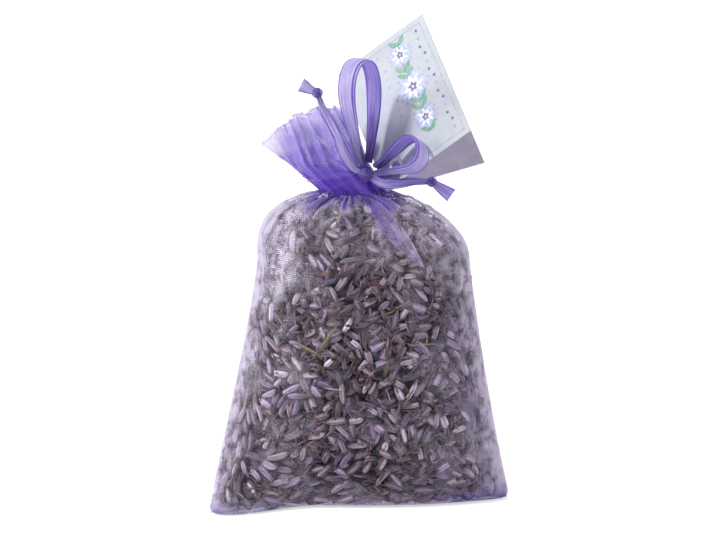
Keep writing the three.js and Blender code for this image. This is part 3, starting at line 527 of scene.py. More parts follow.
# Folds out of the neck: angle there, angle and height where they fade, half width, height of the ridge
FRONT_FOLDS = [
    (20, 14, 84, 1.5, 0.8), (42, 34, 90, 1.2, 0.7), (63, 52, 86, 1.4, 0.9), (84, 78, 91, 1.1, 0.7),
    (104, 104, 84, 1.6, 0.8), (122, 116, 92, 1.1, 0.6), (146, 118, 78, 1.4, 1.0), (165, 129, 66, 1.7, 1.3),
    (171, 166, 74, 1.5, 1.1),
]
BACK_FOLDS = [
    (18, 12, 80, 1.4, 0.9), (40, 33, 74, 1.5, 1.1), (58, 52, 88, 1.2, 0.7), (80, 76, 78, 1.5, 0.9),
    (98, 101, 90, 1.1, 0.7), (117, 124, 80, 1.4, 1.0), (139, 146, 86, 1.3, 0.8), (160, 167, 76, 1.4, 1.0),
]


def fold_ridges(folds, angle, height):
    """How far each place lies on a fold, from 0 to 1, and how far the folds lift the cloth there."""
    share = np.zeros(np.broadcast(angle, height).shape)
    lift = np.zeros_like(share)
    for neck_deg, end_deg, end_height, breadth, ridge in folds:
        s = np.clip((NECK_HEIGHT - height) / (NECK_HEIGHT - end_height), 0, 1)
        middle = np.radians(mix(neck_deg, end_deg, s ** 0.8))
        away = (angle - middle) * half_width(height) * 0.8 / (breadth * (0.7 + 0.8 * s))
        here = np.exp(-away ** 2) * (1 - smooth(s))
        share = np.maximum(share, here)
        lift = lift + ridge * here
    return share, lift


# Panels
PANEL_COLUMNS = 161
BASE_ROWS = 9
WALL_ROWS = 78
SHOULDER_ROWS = 44
BASE_EDGE = 1.2
CORNER_ROUNDING = 3.2


def panel_looks(a, h, x, z, share):
    """How dense a panel's cloth is and how deep its colour: hazy at sides and shoulders, paler on the left as
    painted light, and deeper violet where bunched at the neck and, partly as painted shade, at the bottom.
    """
    near_side = np.abs(np.cos(a))
    left = smooth((-x - 8) / 34)
    right = smooth((x - 10) / 34)
    front = np.exp(-(((a - 1.45) / 0.5) ** 2))
    tongue = 0.5 + 0.5 * np.sin(9 * a + 1.2 * np.sin(4 * a) + 0.8)
    neck = smooth((h - 101.6 + 3.4 * tongue * mix(0.4, 1, near_side ** 0.5)) / 2.6)
    neck = neck * (1 - smooth((np.abs(x + 1) - 12) / 9))
    bottom = np.exp(-((h / 3.8) ** 2))
    streaks = 0.5 + 0.5 * np.sin(38 * a + 3 * np.sin(5 * a) + 1.5 * np.sin(h / 3))
    clear = np.exp(-(((x - 2) / 20) ** 2) - ((h - 54) / 20) ** 2)
    # The extra veil of pale cloth on the left is painted light: the cloth lit from the left.
    veil = 0.06 - 0.045 * clear + 0.07 * left * mix(0.3, 1, smooth((h - 15) / 30)) + 0.12 * right
    veil = veil + (0.45 + 0.4 * right) * near_side ** 16
    veil = veil + 0.16 * smooth((h - 72) / 28) * (1 - 0.7 * front)
    # glint_patches: patches of more opaque pale cloth, painted glints of threads catching the light,
    # strongest on the left.
    glint_patches = smooth(1.3 * ripple(x, z, 24, 8) + 0.1)
    # The left shoulder is paler still: painted light.
    veil = veil + 0.46 * left * smooth((h - 66) / 26)
    veil = veil + left * glint_patches * mix(0.18, 0.32, smooth((h - 40) / 30)) + 0.06 * right * glint_patches
    veil = veil + 0.05 * ripple(x, z, 22, 11) + 0.02 * ripple(x, z, 7, 9)
    # At the bottom the cloth is denser and deeper violet: partly the seam's doubled cloth, partly painted
    # shade where the base curves under.
    veil = veil + neck * (0.58 + 0.25 * streaks) + 0.16 * share + 0.42 * bottom
    bunch_and_shade = neck * (0.7 + 0.25 * streaks) + 0.16 * share + 0.75 * bottom
    bunch_and_shade = bunch_and_shade + 0.5 * right * (1 - near_side ** 6) + 0.12 * near_side ** 8 + 0.1 * ripple(x, z, 30, 10)
    return np.clip(veil, 0.02, 0.95), np.clip(bunch_and_shade, 0, 1)


def build_panel(name, side, folds):
    """One panel: half of the base and the wall up to the neck, lumpy over the buds and pleated above."""
    angle = np.linspace(0, math.pi, PANEL_COLUMNS)
    out = np.linspace(0, 1, BASE_ROWS + 1)[:-1]
    wall = np.linspace(BASE_EDGE, SHOULDER_HEIGHT, WALL_ROWS)
    shoulder = np.linspace(SHOULDER_HEIGHT, NECK_HEIGHT + 0.5, SHOULDER_ROWS)[1:]
    heights = np.concatenate([BASE_EDGE * out ** 4, wall, shoulder])[:, None]
    outs = np.concatenate([out, np.ones(len(heights) - BASE_ROWS)])[:, None]
    a = np.broadcast_to(angle[None, :], (len(heights), PANEL_COLUMNS))
    h = np.broadcast_to(heights, a.shape)
    points = pouch_point(side, a, h, out=outs)
    rounding = CORNER_ROUNDING * (1 - np.sqrt(1 - np.clip(1 - h / CORNER_ROUNDING, 0, 1) ** 2))
    points[..., 0] *= 1 - rounding / BASE_HALF_WIDTH
    normal = grid_normals(points) * side
    share, lift = fold_ridges(folds, a, h)
    x, z = points[..., 0], points[..., 2]
    loose = smooth((h - 1) / 8) * np.sin(a) ** 0.5
    lumps = 0.28 * ripple(x, z, 9, 3) + 0.2 * ripple(x, z, 5.5, 4)
    fine = 0.35 * smooth((h - 86) / 14) * np.sin(46 * a + 3 * np.sin(5 * a))
    veil, bunch_and_shade = panel_looks(a, h, x, z, share)
    points = points + normal * (loose * (lumps + lift + fine))[..., None]
    return make_cloth(name, points, veil, bunch_and_shade, ORGANZA)


def build_side_seam(name, angle, inward):
    """The two panels' allowances turned inside: a doubled strip that waves a little."""
    heights = np.linspace(2, SEAM_TOP, 90)
    depth = np.linspace(0, SEAM_WIDTH + 0.8, 6)
    edge = pouch_point(1, angle, heights, gap=0.0)
    points = np.repeat(edge[:, None, :], len(depth), axis=1)
    sway = 0.25 * np.sin(heights / 4)[:, None] * (depth[None, :] / SEAM_WIDTH)
    points[..., 0] += inward * (depth[None, :] + sway)
    points[..., 1] = corner_forward(points[..., 0], points[..., 2]) + 0.12 * np.sin(heights / 2.4)[:, None]
    return make_cloth(name, points, 0.4, 0.4, ORGANZA)


def build_bottom_seam(name):
    x = np.linspace(-BASE_HALF_WIDTH + 1, BASE_HALF_WIDTH - 1, 90)[:, None]
    height = np.linspace(0.1, SEAM_WIDTH, 5)[None, :]
    y = corner_forward(x, height) + 0.12 * np.sin(x / 2.2)
    points = np.stack(np.broadcast_arrays(x, y, height), -1)
    return make_cloth(name, points, 0.6, 0.5, ORGANZA)


# Casing and frill
def casing_point(angle, height, inset):
    t = (height - CASING_BOTTOM) / (CASING_TOP - CASING_BOTTOM)
    wide = mix(NECK_HALF_WIDTH, CASING_TOP_HALF_WIDTH, t) - inset
    deep = mix(NECK_HALF_DEPTH, CASING_TOP_HALF_DEPTH, t) - inset
    x = mix(NECK_SHIFT, CASING_TOP_SHIFT, t) - wide * np.cos(angle)
    return np.stack(np.broadcast_arrays(x, -deep * np.sin(angle), height), -1)


LINING_PLEATS = 34
LINING_PLEAT_DEPTH = 0.6
LINING_INSET = 3.2
CASING_SHARE = 0.3
CLOTH_TUCK = 0.4


def build_lining(name):
    """The tunnel's inner layer: gathered all round, and thinner towards its top."""
    angle = np.linspace(0, 2 * math.pi, 181)[None, :]
    height = np.linspace(NECK_HEIGHT - CLOTH_TUCK, FRILL_BOTTOM + 0.2, 25)[:, None]
    t = (height - CASING_BOTTOM) / (CASING_TOP - CASING_BOTTOM)
    turn = angle + 0.05 * np.sin(3 * t)
    pleats = np.sin(LINING_PLEATS * turn + 2.2 * np.sin(3 * turn + 0.9) + 1.1 * np.sin(7 * turn + 1.8))
    wave = LINING_PLEAT_DEPTH * pleats * (0.55 + 0.45 * np.sin(math.pi * np.clip(t, 0, 1)))
    faded = 1 - smooth((t - 0.35) / 0.5)
    veil = np.clip((0.85 + 0.1 * wave) * faded, 0, 1)
    bunch_and_shade = np.clip(0.82 - 0.35 * wave, 0, 1)
    return make_cloth(name, casing_point(angle, height, LINING_INSET - wave), veil, bunch_and_shade, FRILL_ORGANZA)


def frill_edge(share):
    s = share[..., None]
    left, middle, right = (np.array(p, float) for p in (FRILL_LEFT, FRILL_MIDDLE, FRILL_RIGHT))
    bow = (1 - s) ** 2 * left + 2 * s * (1 - s) * middle + s ** 2 * right
    return bow + np.array([CASING_TOP_SHIFT, FRILL_BOTTOM])


def crease(turn):
    """A wave with sharp ridges and round valleys, from -1 to 1."""
    return 1 - 2 * np.abs(np.sin(turn / 2)) ** 0.8


def build_header(name, side, seed, swell):
    """One panel's casing and frill: gathered tight over the drawstring, and fanned out above it."""
    share = np.linspace(0, 1, 241)[None, :]
    t = np.linspace(0, 1, 90)[:, None]
    low = np.clip(t / CASING_SHARE, 0, 1)
    grown = np.clip((t - CASING_SHARE) / (1 - CASING_SHARE), 0, 1)
    height = mix(NECK_HEIGHT - CLOTH_TUCK, FRILL_BOTTOM, low)
    body = casing_point(math.pi * share, height, 0.0)
    swollen = swell * np.sin(0.9 * math.pi * low) ** 0.7 * np.sin(math.pi * share)
    edge = frill_edge(share)
    place = share + 0.03 * np.sin(14 * share + seed) + 0.016 * np.sin(33 * share + 2 * seed)
    pleat = 2 * math.pi * FRILL_PLEATS * place + side
    main = crease(pleat)
    strength = smooth(0.5 + 0.8 * np.sin(9 * share + 3 * seed))
    small = crease(2 * math.pi * 17 * place + seed) * strength
    tiny = crease(2 * math.pi * 38 * place + 2 * seed) * (1.2 - strength)
    points_up = 2 * np.abs((share * 4.2 + seed) % 1 - 0.5)
    reach = grown * (1 + grown * (0.09 * points_up - 0.05 + 0.015 * small))
    rest = 0.6 + FRILL_PLEAT_DEPTH + 0.6
    closed = np.sin(math.pi * share) ** 0.5
    depth = mix(-body[..., 1] + swollen - 0.8 * closed, rest, smooth(grown))
    depth = depth + main * mix(1.1 * closed, 2.1, smooth(1.5 * grown))
    depth = depth + small * mix(0.8 * closed, 0.45, grown)
    depth = depth + tiny * mix(0.35 * closed, 0.08, grown)
    x = mix(body[..., 0], edge[..., 0], reach) + grown * 0.9 * np.cos(pleat)
    z = mix(height, edge[..., 1], reach)
    if side < 0:
        depth = depth - 2.8 * np.exp(-((x - KNOT[0]) / 4.2) ** 2 - ((z - KNOT[2]) / 4) ** 2)
    points = np.stack(np.broadcast_arrays(x, side * depth, z), -1)
    slope = np.abs(np.gradient(depth, axis=1)) / np.maximum(np.abs(np.gradient(x, axis=1)), 0.03)
    steep = 1 - np.exp(-slope / 1.6)
    hem = smooth((t - 0.955) / 0.02)
    pale = 1 - smooth((share - 0.1) / 0.16)
    high = smooth((grown - 0.55) / 0.45)
    single = mix(0.64, 0.2, pale) if side < 0 else 0.46
    veil = mix(0.9, single, smooth(grown / 0.45)) * (1 - 0.25 * high) + 0.2 * hem + 0.12 * steep
    dark = mix(0.95, 0.62, smooth((t - 0.1) / 0.2))
    bunch_and_shade = mix(dark, mix(0.6, 0.1, pale), smooth(grown / 0.6)) - 0.3 * high + 0.1 * steep + 0.08 * small
    beside = np.hypot(x - KNOT[0], z - KNOT[2])
    about = np.arctan2(z - KNOT[2], x - KNOT[0])
    # Gather lines radiate from the knot: the cloth is denser and deeper violet along them, painted shade in
    # the folds, and deeper violet close to the knot.
    rays = np.sin(23 * about + 2 * np.sin(3 * about)) * np.exp(-((beside - 6) / 9) ** 2)
    bunch_and_shade = bunch_and_shade + 0.22 * rays + 0.16 * np.exp(-((beside / 9) ** 2))
    veil = veil + 0.12 * rays
    return make_cloth(name, points, np.clip(veil, 0.1, 0.97), np.clip(bunch_and_shade, 0, 1), FRILL_ORGANZA)


def wall_outside(x, height, lift):
    cosine = np.clip((pouch_shift(height) - x) / half_width(height), -0.98, 0.98)
    angle = np.arccos(cosine)
    point = pouch_point(-1, angle, height)
    below = pouch_point(-1, angle, height - 0.2)
    stretch = np.hypot(1, (below[..., 1] - point[..., 1]) / 0.2)
    return np.stack([x, point[..., 1] - lift * stretch - 0.65, height], -1)


def build_flap(name):
    """The frill's corner, folded down over the front as a narrow leaf with a crease along it."""
    t = np.linspace(0, 1, 61)[:, None]
    u = np.linspace(-1, 1, 15)[None, :]
    root = casing_point(FLAP_ROOT, CASING_BOTTOM, 0.0)
    half = FLAP_WIDTH / 2 * mix(0.12, 1, np.sin(math.pi * (0.1 + 0.88 * t) ** 0.9))
    half = half * (1 - 0.9 * np.clip((t - 0.9) / 0.1, 0, 1) ** 1.5)
    across = half * u
    along = FLAP_LENGTH * t
    x = root[0] + along * math.cos(FLAP_RISE) - across * math.sin(FLAP_RISE)
    height = NECK_HEIGHT - 1 + along * math.sin(FLAP_RISE) + across * math.cos(FLAP_RISE)
    ridge = 0.5 * (1 - np.abs(u)) * np.sin(math.pi * t)
    points = wall_outside(x, np.minimum(height, NECK_HEIGHT - CLOTH_TUCK), FLAP_GAP + ridge)
    veil = np.clip(0.52 + 0.22 * (np.abs(u) > 0.8) + 0.1 * np.exp(-(u / 0.1) ** 2), 0, 1)
    # The half of the leaf below its crease is deeper violet: painted shade on that side of the crease.
    bunch_and_shade = np.clip(0.36 + 0.5 * (1 - t) ** 2 + 0.16 * (u < -0.1), 0, 1)
    return make_cloth(name, points, veil, bunch_and_shade, ORGANZA)


# Ribbons
def band(name, centre, across, half, body, curl, pleats, tight=0.0):
    """A flat ribbon along a line: curl hollows it across, and pleats bunches it where it is narrow."""
    half, pleats, tight = (np.broadcast_to(v, len(centre))[:, None] for v in (half, pleats, tight))
    tangent = unit(np.gradient(centre, axis=0))
    side = np.broadcast_to(across, centre.shape)
    side = unit(side - tangent * (side * tangent).sum(1, keepdims=True))
    face = np.cross(tangent, side)[:, None, :]
    u = np.linspace(-1, 1, RIBBON_COLUMNS)
    bow = curl * (u ** 2 - 0.33) * half + pleats * np.cos(2.6 * math.pi * u + 0.6)
    middle = centre[:, None, :] + side[:, None, :] * (half * u)[..., None] + face * bow[..., None]
    front = middle + face * RIBBON_THICKNESS / 2
    back = middle - face * RIBBON_THICKNESS / 2
    ring = np.concatenate([front, back[:, ::-1]], axis=1)
    shape = ring.shape[:2]
    u_ring = np.concatenate([u, u[::-1]])
    looks = {"weave": weave_places(half * u_ring, run_along(centre)[:, None])}
    looks["edge"] = np.broadcast_to(np.abs(u_ring), shape).ravel()
    looks["dull_shaded_back"] = np.broadcast_to(np.repeat([1, 0], RIBBON_COLUMNS), shape).ravel()
    looks["tight"] = np.broadcast_to(tight, shape).ravel()
    return make_piece(name, ring, tube_faces(*shape), SATIN, body, looks)


def loop_frame(rise, turn, forward):
    along = unit([math.cos(rise), -math.tan(forward), math.sin(rise)])
    flat = np.array([-math.sin(rise), 0, math.cos(rise)])
    across = flat * math.cos(turn) + np.cross(flat, along) * math.sin(turn)
    return along, across, np.cross(along, across)


def build_loop(body, word, route, loop, inset):
    """One ribbon of a loop, pinched into folds where it goes into the knot."""
    along, across, width = loop
    t = np.linspace(0, 1, 120)
    flat = spline([(u, v, 0) for u, v in route], t)
    tangent = unit(np.gradient(flat, axis=0))
    flat = flat + inset * np.stack([tangent[:, 1], -tangent[:, 0], np.zeros(len(t))], -1)
    slip = inset * 2.2 * np.sin(math.pi * t)[:, None]
    centre = KNOT + flat[:, [0]] * along + flat[:, [1]] * across + slip * width
    opened = smooth(np.minimum(t, 1 - t) / RIBBON_PINCH_SHARE)
    half = mix(RIBBON_PINCH, RIBBON_WIDTH, opened) / 2
    pleats = 0.5 * (1 - opened)
    tight = 0.8 * (1 - opened) ** 2
    piece = band(f"{body}_{word}", centre, width, half, body, 0.06, pleats, tight)
    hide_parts(f"{body}_{word}_ribbon")


def tail_line(route, end_direction, end_length, layer):
    """The ribbon's middle line: along its route, through the small knot and out to its flared end."""
    points = np.vstack([(0, 0, 0), route])
    forward = unit(points[-1] - points[-2])
    knot = points[-1] + forward * TAIL_KNOT_STEP
    start = knot + end_direction * TAIL_END_STEP
    stop = start + end_direction * end_length
    points = np.vstack([points, knot, start, (start + stop) / 2, stop]) + KNOT
    points[:, 1] += (layer - 0.5) * RIBBON_APART
    return points, knot + KNOT


def build_tail(name, word, layer, route, across, end_direction, end_length, end_across):
    """One ribbon of a tail, drawn narrow into the small knot and flared beyond it."""
    points, knot = tail_line(route, unit(end_direction), end_length, layer)
    t = np.linspace(0, 1, 110)
    centre = spline(points, t)
    centre[:, 0] += 0.3 * np.sin(19 * t + layer) * np.sin(math.pi * t)
    at_knot = (len(route) + 1) / (len(points) - 1)
    before = np.clip(t / at_knot, 0, 1)
    after = np.clip((t - at_knot) / (1 - at_knot), 0, 1)
    narrowed = mix(TAIL_HALF, 0.8, smooth((before - 0.45) / 0.5))
    half = np.where(t < at_knot, narrowed, mix(0.7, TAIL_END_HALF, after ** 0.8))
    half = half * np.where(t < at_knot, mix(0.62, 1, smooth(before / 0.25)), 1)
    turned = smooth((t - at_knot + 0.05) / 0.1)[:, None]
    side = mix(np.array(across, float), np.array(end_across, float), turned)
    side = side + np.array([0.5, 0.3, 0]) * np.sin(11 * t + 2 * layer)[:, None] * (1 - turned)
    pleats = (1 - turned[:, 0]) * (0.12 + 0.35 * np.exp(-((before - 0.9) / 0.3) ** 2))
    piece = band(f"{name}_tail_{word}", centre, side, half, f"{name}_tail", 0.2 * (1 - 2 * layer), pleats)
    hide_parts(f"{name}_tail_{word}_ribbon", f"{name}_tail_{word}_end")
    return knot


def turned_basis(turn, lean):
    c, s = math.cos(turn), math.sin(turn)
    about_y = np.array([[c, 0, s], [0, 1, 0], [-s, 0, c]])
    c, s = math.cos(lean), math.sin(lean)
    about_x = np.array([[1, 0, 0], [0, c, -s], [0, s, c]])
    return about_x @ about_y


def build_knot(name, centre, radii, bands, body, node):
    """A knot: ribbon drawn tight in folded turns."""
    turns = np.linspace(0, 2 * math.pi, 57)[:-1][:, None]
    u = np.linspace(-1, 1, 11)[None, :]
    rows, columns = turns.size, u.size
    last = (rows - 1) * columns
    closing = [[last + k, last + k + 1, k + 1, k] for k in range(columns - 1)]
    quads = np.array(grid_faces(rows, columns) + closing)
    points, faces = [], []
    for number, (turn, lean, breadth, size) in enumerate(bands):
        ring = size + 0.05 * np.sin(2 * turns + number) + 0.05 * np.cos(7 * u + number) - 0.12 * u ** 2
        local = np.stack(np.broadcast_arrays(np.cos(turns) * ring, np.sin(turns) * ring, breadth * u), -1)
        points.append((local.reshape(-1, 3) @ turned_basis(turn, lean).T) * radii + centre)
        faces += (quads + number * rows * columns).tolist()
    edge = np.broadcast_to(0.72 + 0.28 * np.abs(u), (rows, columns)).ravel()
    looks = {"weave": np.tile(weave_places(3 * u, 3 * turns), (len(bands), 1))}
    looks["edge"] = np.tile(edge, len(bands))
    # Most of each turn takes the darker back colour, with its painted shade.
    looks["dull_shaded_back"] = np.full(len(looks["edge"]), 0.8)
    looks["tight"] = np.full(len(looks["edge"]), 0.6)
    piece = make_piece(name, np.concatenate(points), faces, SATIN, body, looks)
    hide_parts(node)


def twisted_tube(name, route, radius, folds, twist, body):
    """A ribbon drawn into a narrow folded strand."""
    t = np.linspace(0, 1, 90)[:, None]
    centre = spline(route, t[:, 0])
    turns = np.linspace(0, 2 * math.pi, 33)[:-1]
    size = radius * (1 + 0.2 * np.cos(folds * turns + twist * t))
    points = tube_points(centre, [0.2, 0.3, 0.93], size, turns)
    edge = np.broadcast_to(0.75 + 0.25 * np.cos(folds * turns + 1), size.shape).ravel() * 0.9
    looks = {"weave": weave_places(radius * turns, run_along(centre)[:, None]), "edge": edge}
    # More than half of the strand takes the darker back colour, with its painted shade.
    looks["dull_shaded_back"] = np.full(len(edge), 0.6)
    looks["tight"] = np.full(len(edge), 0.7)
    return make_piece(name, points, tube_faces(*size.shape), SATIN, body, looks)


# Stitches: length, gap and radius
SEAM_STITCH = (1.8, 0.5, 0.22)
CASING_STITCH = (1.5, 0.4, 0.2)
STITCH_TAPER = np.array([0.35, 0.9, 1, 1, 0.9, 0.35])
STITCH_SIDES = 6


def build_stitches(name, route, stitch, gap, radius, node):
    """A line of separate stitches, each a short thread that tapers at both ends."""
    run = run_along(route)
    turns = np.linspace(0, 2 * math.pi, STITCH_SIDES + 1)[:-1]
    rings = len(STITCH_TAPER)
    quads = tube_faces(rings, STITCH_SIDES)
    points, faces, weave = [], [], []
    for k in range(int(run[-1] // (stitch + gap))):
        at = k * (stitch + gap) + np.linspace(0, stitch, rings)
        centre = np.stack([np.interp(at, run, route[:, i]) for i in range(3)], -1)
        ring = tube_points(centre, [0.31, 0.52, 0.79], radius * STITCH_TAPER[:, None], turns)
        faces += [[v + k * rings * STITCH_SIDES for v in face] for face in quads]
        points.append(ring.reshape(-1, 3))
        weave.append(weave_places(turns * 0.2, at[:, None]))
    looks = {"weave": np.concatenate(weave)}
    piece = make_piece(name, np.concatenate(points), faces, THREAD, "pouch", looks)
    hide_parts(node)


# Filling
BUD_LENGTH = (4.4, 7.2)
BUD_RADIUS = (0.85, 1.35)
BUD_SPACING = 0.76
BUD_BEND = 0.35
FILL_SIDE_INSET = -0.8
FILL_TOP = 101
CORE_DEPTH = 4.2
NEIGHBOUR_CELL = 7
BUD_TONES = [srgb(*c) for c in (
    (202, 183, 209), (174, 151, 184), (200, 180, 200), (178, 155, 176), (154, 129, 164), (212, 194, 217),
    (168, 141, 162), (184, 162, 198), (136, 111, 149), (170, 155, 164), (152, 134, 148))]
# Violet tones for the inner buds, painted shade deep among the outer ones.
SHADED_INNER_TONES = [srgb(*c) for c in ((160, 124, 186), (136, 102, 164), (176, 134, 170), (150, 116, 140))]
CRUMB_TONES = [srgb(*c) for c in (
    (122, 78, 80), (96, 60, 68), (150, 108, 106), (124, 98, 120),
    (176, 150, 156), (96, 76, 96), (164, 136, 156))]
STALK_TONES = [srgb(*c) for c in ((140, 134, 98), (152, 140, 112), (122, 118, 88), (142, 124, 104))]
# An open bud's mouth is painted with shade, dark in its hollow.
MOUTH_SHADE_TONE = srgb(34, 24, 38)
TIP_TONE = srgb(84, 56, 68)
STALK_END_TONE = srgb(120, 112, 80)
# The core's near-black is painted shade deep among the buds.
CORE_SHADE_TONE = srgb(26, 17, 32)
CRUMB_LIGHT = (0.3, 0.9)
STALK_LIGHT = (0.4, 1.15)

# Layers of buds: name, depth, tries, sides of a bud, lean, tones, and the range of dark and light ones; the
# inner layer's dark range and violet tones are painted shade among the buds.
BUD_LAYERS = (
    ("buds", 1.7, 24000, 8, 0.45, BUD_TONES, (0.24, 1.26)),
    ("inner_buds", 3.7, 9000, 6, 0.5, SHADED_INNER_TONES, (0.04, 0.3)),
)


def fill_point(side, angle, height, depth):
    """A place on the mass of buds, that far inside the cloth. The right shoulder is not filled up."""
    slack = 1.5 * smooth((angle - 2.3) / 0.5) * smooth((height - 80) / 9)
    return pouch_point(side, angle, height, 0.5 + depth + slack, FILL_SIDE_INSET + depth + slack, gap=0.2)


def fill_frame(side, angle, height, depth):
    """A place on the mass of buds with three directions: along it, up it, and into it."""
    step = 0.01
    here = fill_point(side, angle, height, depth)
    ahead, behind = (fill_point(side, angle + way * step, height, depth) for way in (1, -1))
    along = unit(ahead - behind)
    up = fill_point(side, angle, height + 0.5, depth) - fill_point(side, angle, height - 0.5, depth)
    normal = unit(np.cross(along, up)) * side
    return here, along, np.cross(normal, along), normal


def inside_cloth(points, margin):
    x, y, z = points[..., 0], points[..., 1], points[..., 2]
    across = (pouch_shift(z) - x) / (half_width(z) - margin)
    angle = np.arccos(np.clip(across, -1, 1))
    deep = half_depth(z) * np.sin(angle) * (1 + gather(angle, z)) - margin
    return (np.abs(across) < 1) & (np.abs(y - corner_forward(x, z)) < deep) & (z > 0.6 + margin)


def scatter(rng, side, count, depth, lengths, radii, spacing, lean):
    """Places for buds in one layer, clear of each other: middles, axes, normals, lengths and radii."""
    even = rng.random(count) < 0.5
    angle = np.where(even, np.arccos(rng.uniform(-1, 1, count)), rng.uniform(0, math.pi, count))
    low = rng.random(count) < 0.08
    height = np.where(low, rng.uniform(1.6, 7, count), rng.uniform(1.8, FILL_TOP, count))
    depth = depth + rng.uniform(-0.4, 0.9, count)
    here, along, up, normal = fill_frame(side, angle, height, depth)
    flat = 0.5 + 0.5 * smooth(height / 30)
    turn = rng.uniform(-0.5, 0.5, count) * math.pi * flat
    beside = smooth((np.abs(np.cos(angle)) - 0.7) / 0.2)
    turn = mix(turn, math.pi / 2 + rng.uniform(-0.4, 0.4, count), beside) + rng.choice([0, math.pi], count)
    axis = along * np.cos(turn)[:, None] + up * np.sin(turn)[:, None]
    axis = unit(axis + normal * rng.uniform(-lean, lean, count)[:, None])
    long = rng.uniform(*lengths, count)
    thick = rng.uniform(*radii, count)
    stations = np.array([-0.38, -0.13, 0.13, 0.38])
    samples = here[:, None, :] + axis[:, None, :] * (long[:, None] * stations)[..., None]
    ends = here[:, None, :] + axis[:, None, :] * (long[:, None] * np.array([-0.5, 0, 0.62]))[..., None]
    held = inside_cloth(ends, 0.75 * thick[:, None]).all(1)
    cells, kept = {}, []
    cell_of = np.floor(here / NEIGHBOUR_CELL).astype(int)
    for i in np.flatnonzero(held):
        cx, cy, cz = cell_of[i]
        near = [j for dx in (-1, 0, 1) for dy in (-1, 0, 1) for dz in (-1, 0, 1)
                for j in cells.get((cx + dx, cy + dy, cz + dz), ())]
        if near:
            apart = np.linalg.norm(samples[i][None, :, None, :] - samples[near][:, None, :, :], axis=-1)
            if (apart.min((1, 2)) < spacing * (thick[i] + thick[near])).any():
                continue
        cells.setdefault((cx, cy, cz), []).append(i)
        kept.append(i)
    return here[kept], axis[kept], normal[kept], long[kept], thick[kept]


def bud_form(sides, opened):
    """A ribbed calyx along X: points, faces, each point's share of the closed tip's colour or the mouth's
    painted shade, and the painted shade of its ribs.
    """
    stations = [(0, 0.24, 0.4), (0.1, 0.6, 0), (0.32, 0.94, 0), (0.55, 1.0, 0), (0.8, 0.92, 0)]
    if opened:
        # The open mouth's inner rings take the mouth's painted shade.
        stations += [(0.99, 0.86, 0), (0.99, 0.56, 0.7), (0.72, 0.4, 1)]
    else:
        stations += [(0.96, 0.7, 0.2), (1.08, 0.46, 0.9), (1.2, 0.14, 1)]
    t, r, tip = np.array(stations).T
    turn = np.linspace(0, 2 * math.pi, sides + 1)[:-1]
    rib = 1 + 0.12 * np.cos(turn * sides / 2)
    x = np.broadcast_to(t[:, None] - 0.5, (len(t), sides))
    y = r[:, None] * rib * np.cos(turn)
    z = r[:, None] * rib * np.sin(turn)
    # Painted shade and highlight: darker in the grooves between the ribs, lighter on the ribs.
    shade = np.broadcast_to(0.82 + 0.3 * np.cos(turn * sides / 2), x.shape).ravel()
    return np.stack([x, y, z], -1).reshape(-1, 3), tube_faces(*x.shape), np.repeat(tip, sides), shade


def place_forms(form, places, rng, tones, tip_tone, bend, light):
    """Copies of a form at each place, merged: points, faces and colours, the colours with painted shade on
    each copy's deeper side and painted light on its outer side.
    """
    shape, faces, tip, shade = form
    here, axis, normal, long, thick = places
    count = len(here)
    other = unit(np.cross(normal, axis))
    third = np.cross(axis, other)
    roll = rng.uniform(0, 2 * math.pi, count)[:, None]
    y_axis = other * np.cos(roll) + third * np.sin(roll)
    z_axis = np.cross(axis, y_axis)
    curve = rng.uniform(-bend, bend, count)[:, None] * (shape[:, 0] ** 2)[None, :] * long[:, None]
    points = here[:, None, :] + axis[:, None, :] * (long[:, None] * shape[:, 0])[..., None]
    points = points + y_axis[:, None, :] * (thick[:, None] * shape[:, 1] + curve)[..., None]
    points = points + z_axis[:, None, :] * (thick[:, None] * shape[:, 2])[..., None]
    tone = np.array(tones)[rng.integers(0, len(tones), count)] * rng.uniform(*light, count)[:, None]
    outward = ((here[:, None, :] - points) * normal[:, None, :]).sum(-1) / thick[:, None]
    # Painted shade and light: each copy darker on the side lying deeper in the mass, lighter on its outer
    # side.
    deeper_side_shade = mix(0.3, 1.2, smooth((outward + 0.5) / 1.5))
    colour = tone[:, None, :] * shade[None, :, None] * deeper_side_shade[..., None]
    colour = mix(colour, np.array(tip_tone), tip[None, :, None])
    colour[..., 3] = 1
    step = len(shape)
    merged = [[v + k * step for v in face] for k in range(count) for face in faces]
    return points.reshape(-1, 3), merged, colour.reshape(-1, 4)


def place_piece(name, parts):
    """One piece out of several lots of forms."""
    faces, start = [], 0
    for points, lot, _ in parts:
        faces += [[v + start for v in face] for face in lot]
        start += len(points)
    points, colours = (np.concatenate([part[i] for part in parts]) for i in (0, 2))
    make_piece(name, points, faces, BUD, "pouch", {"tone": colours})


def split_places(places, chosen):
    return tuple(a[chosen] for a in places)


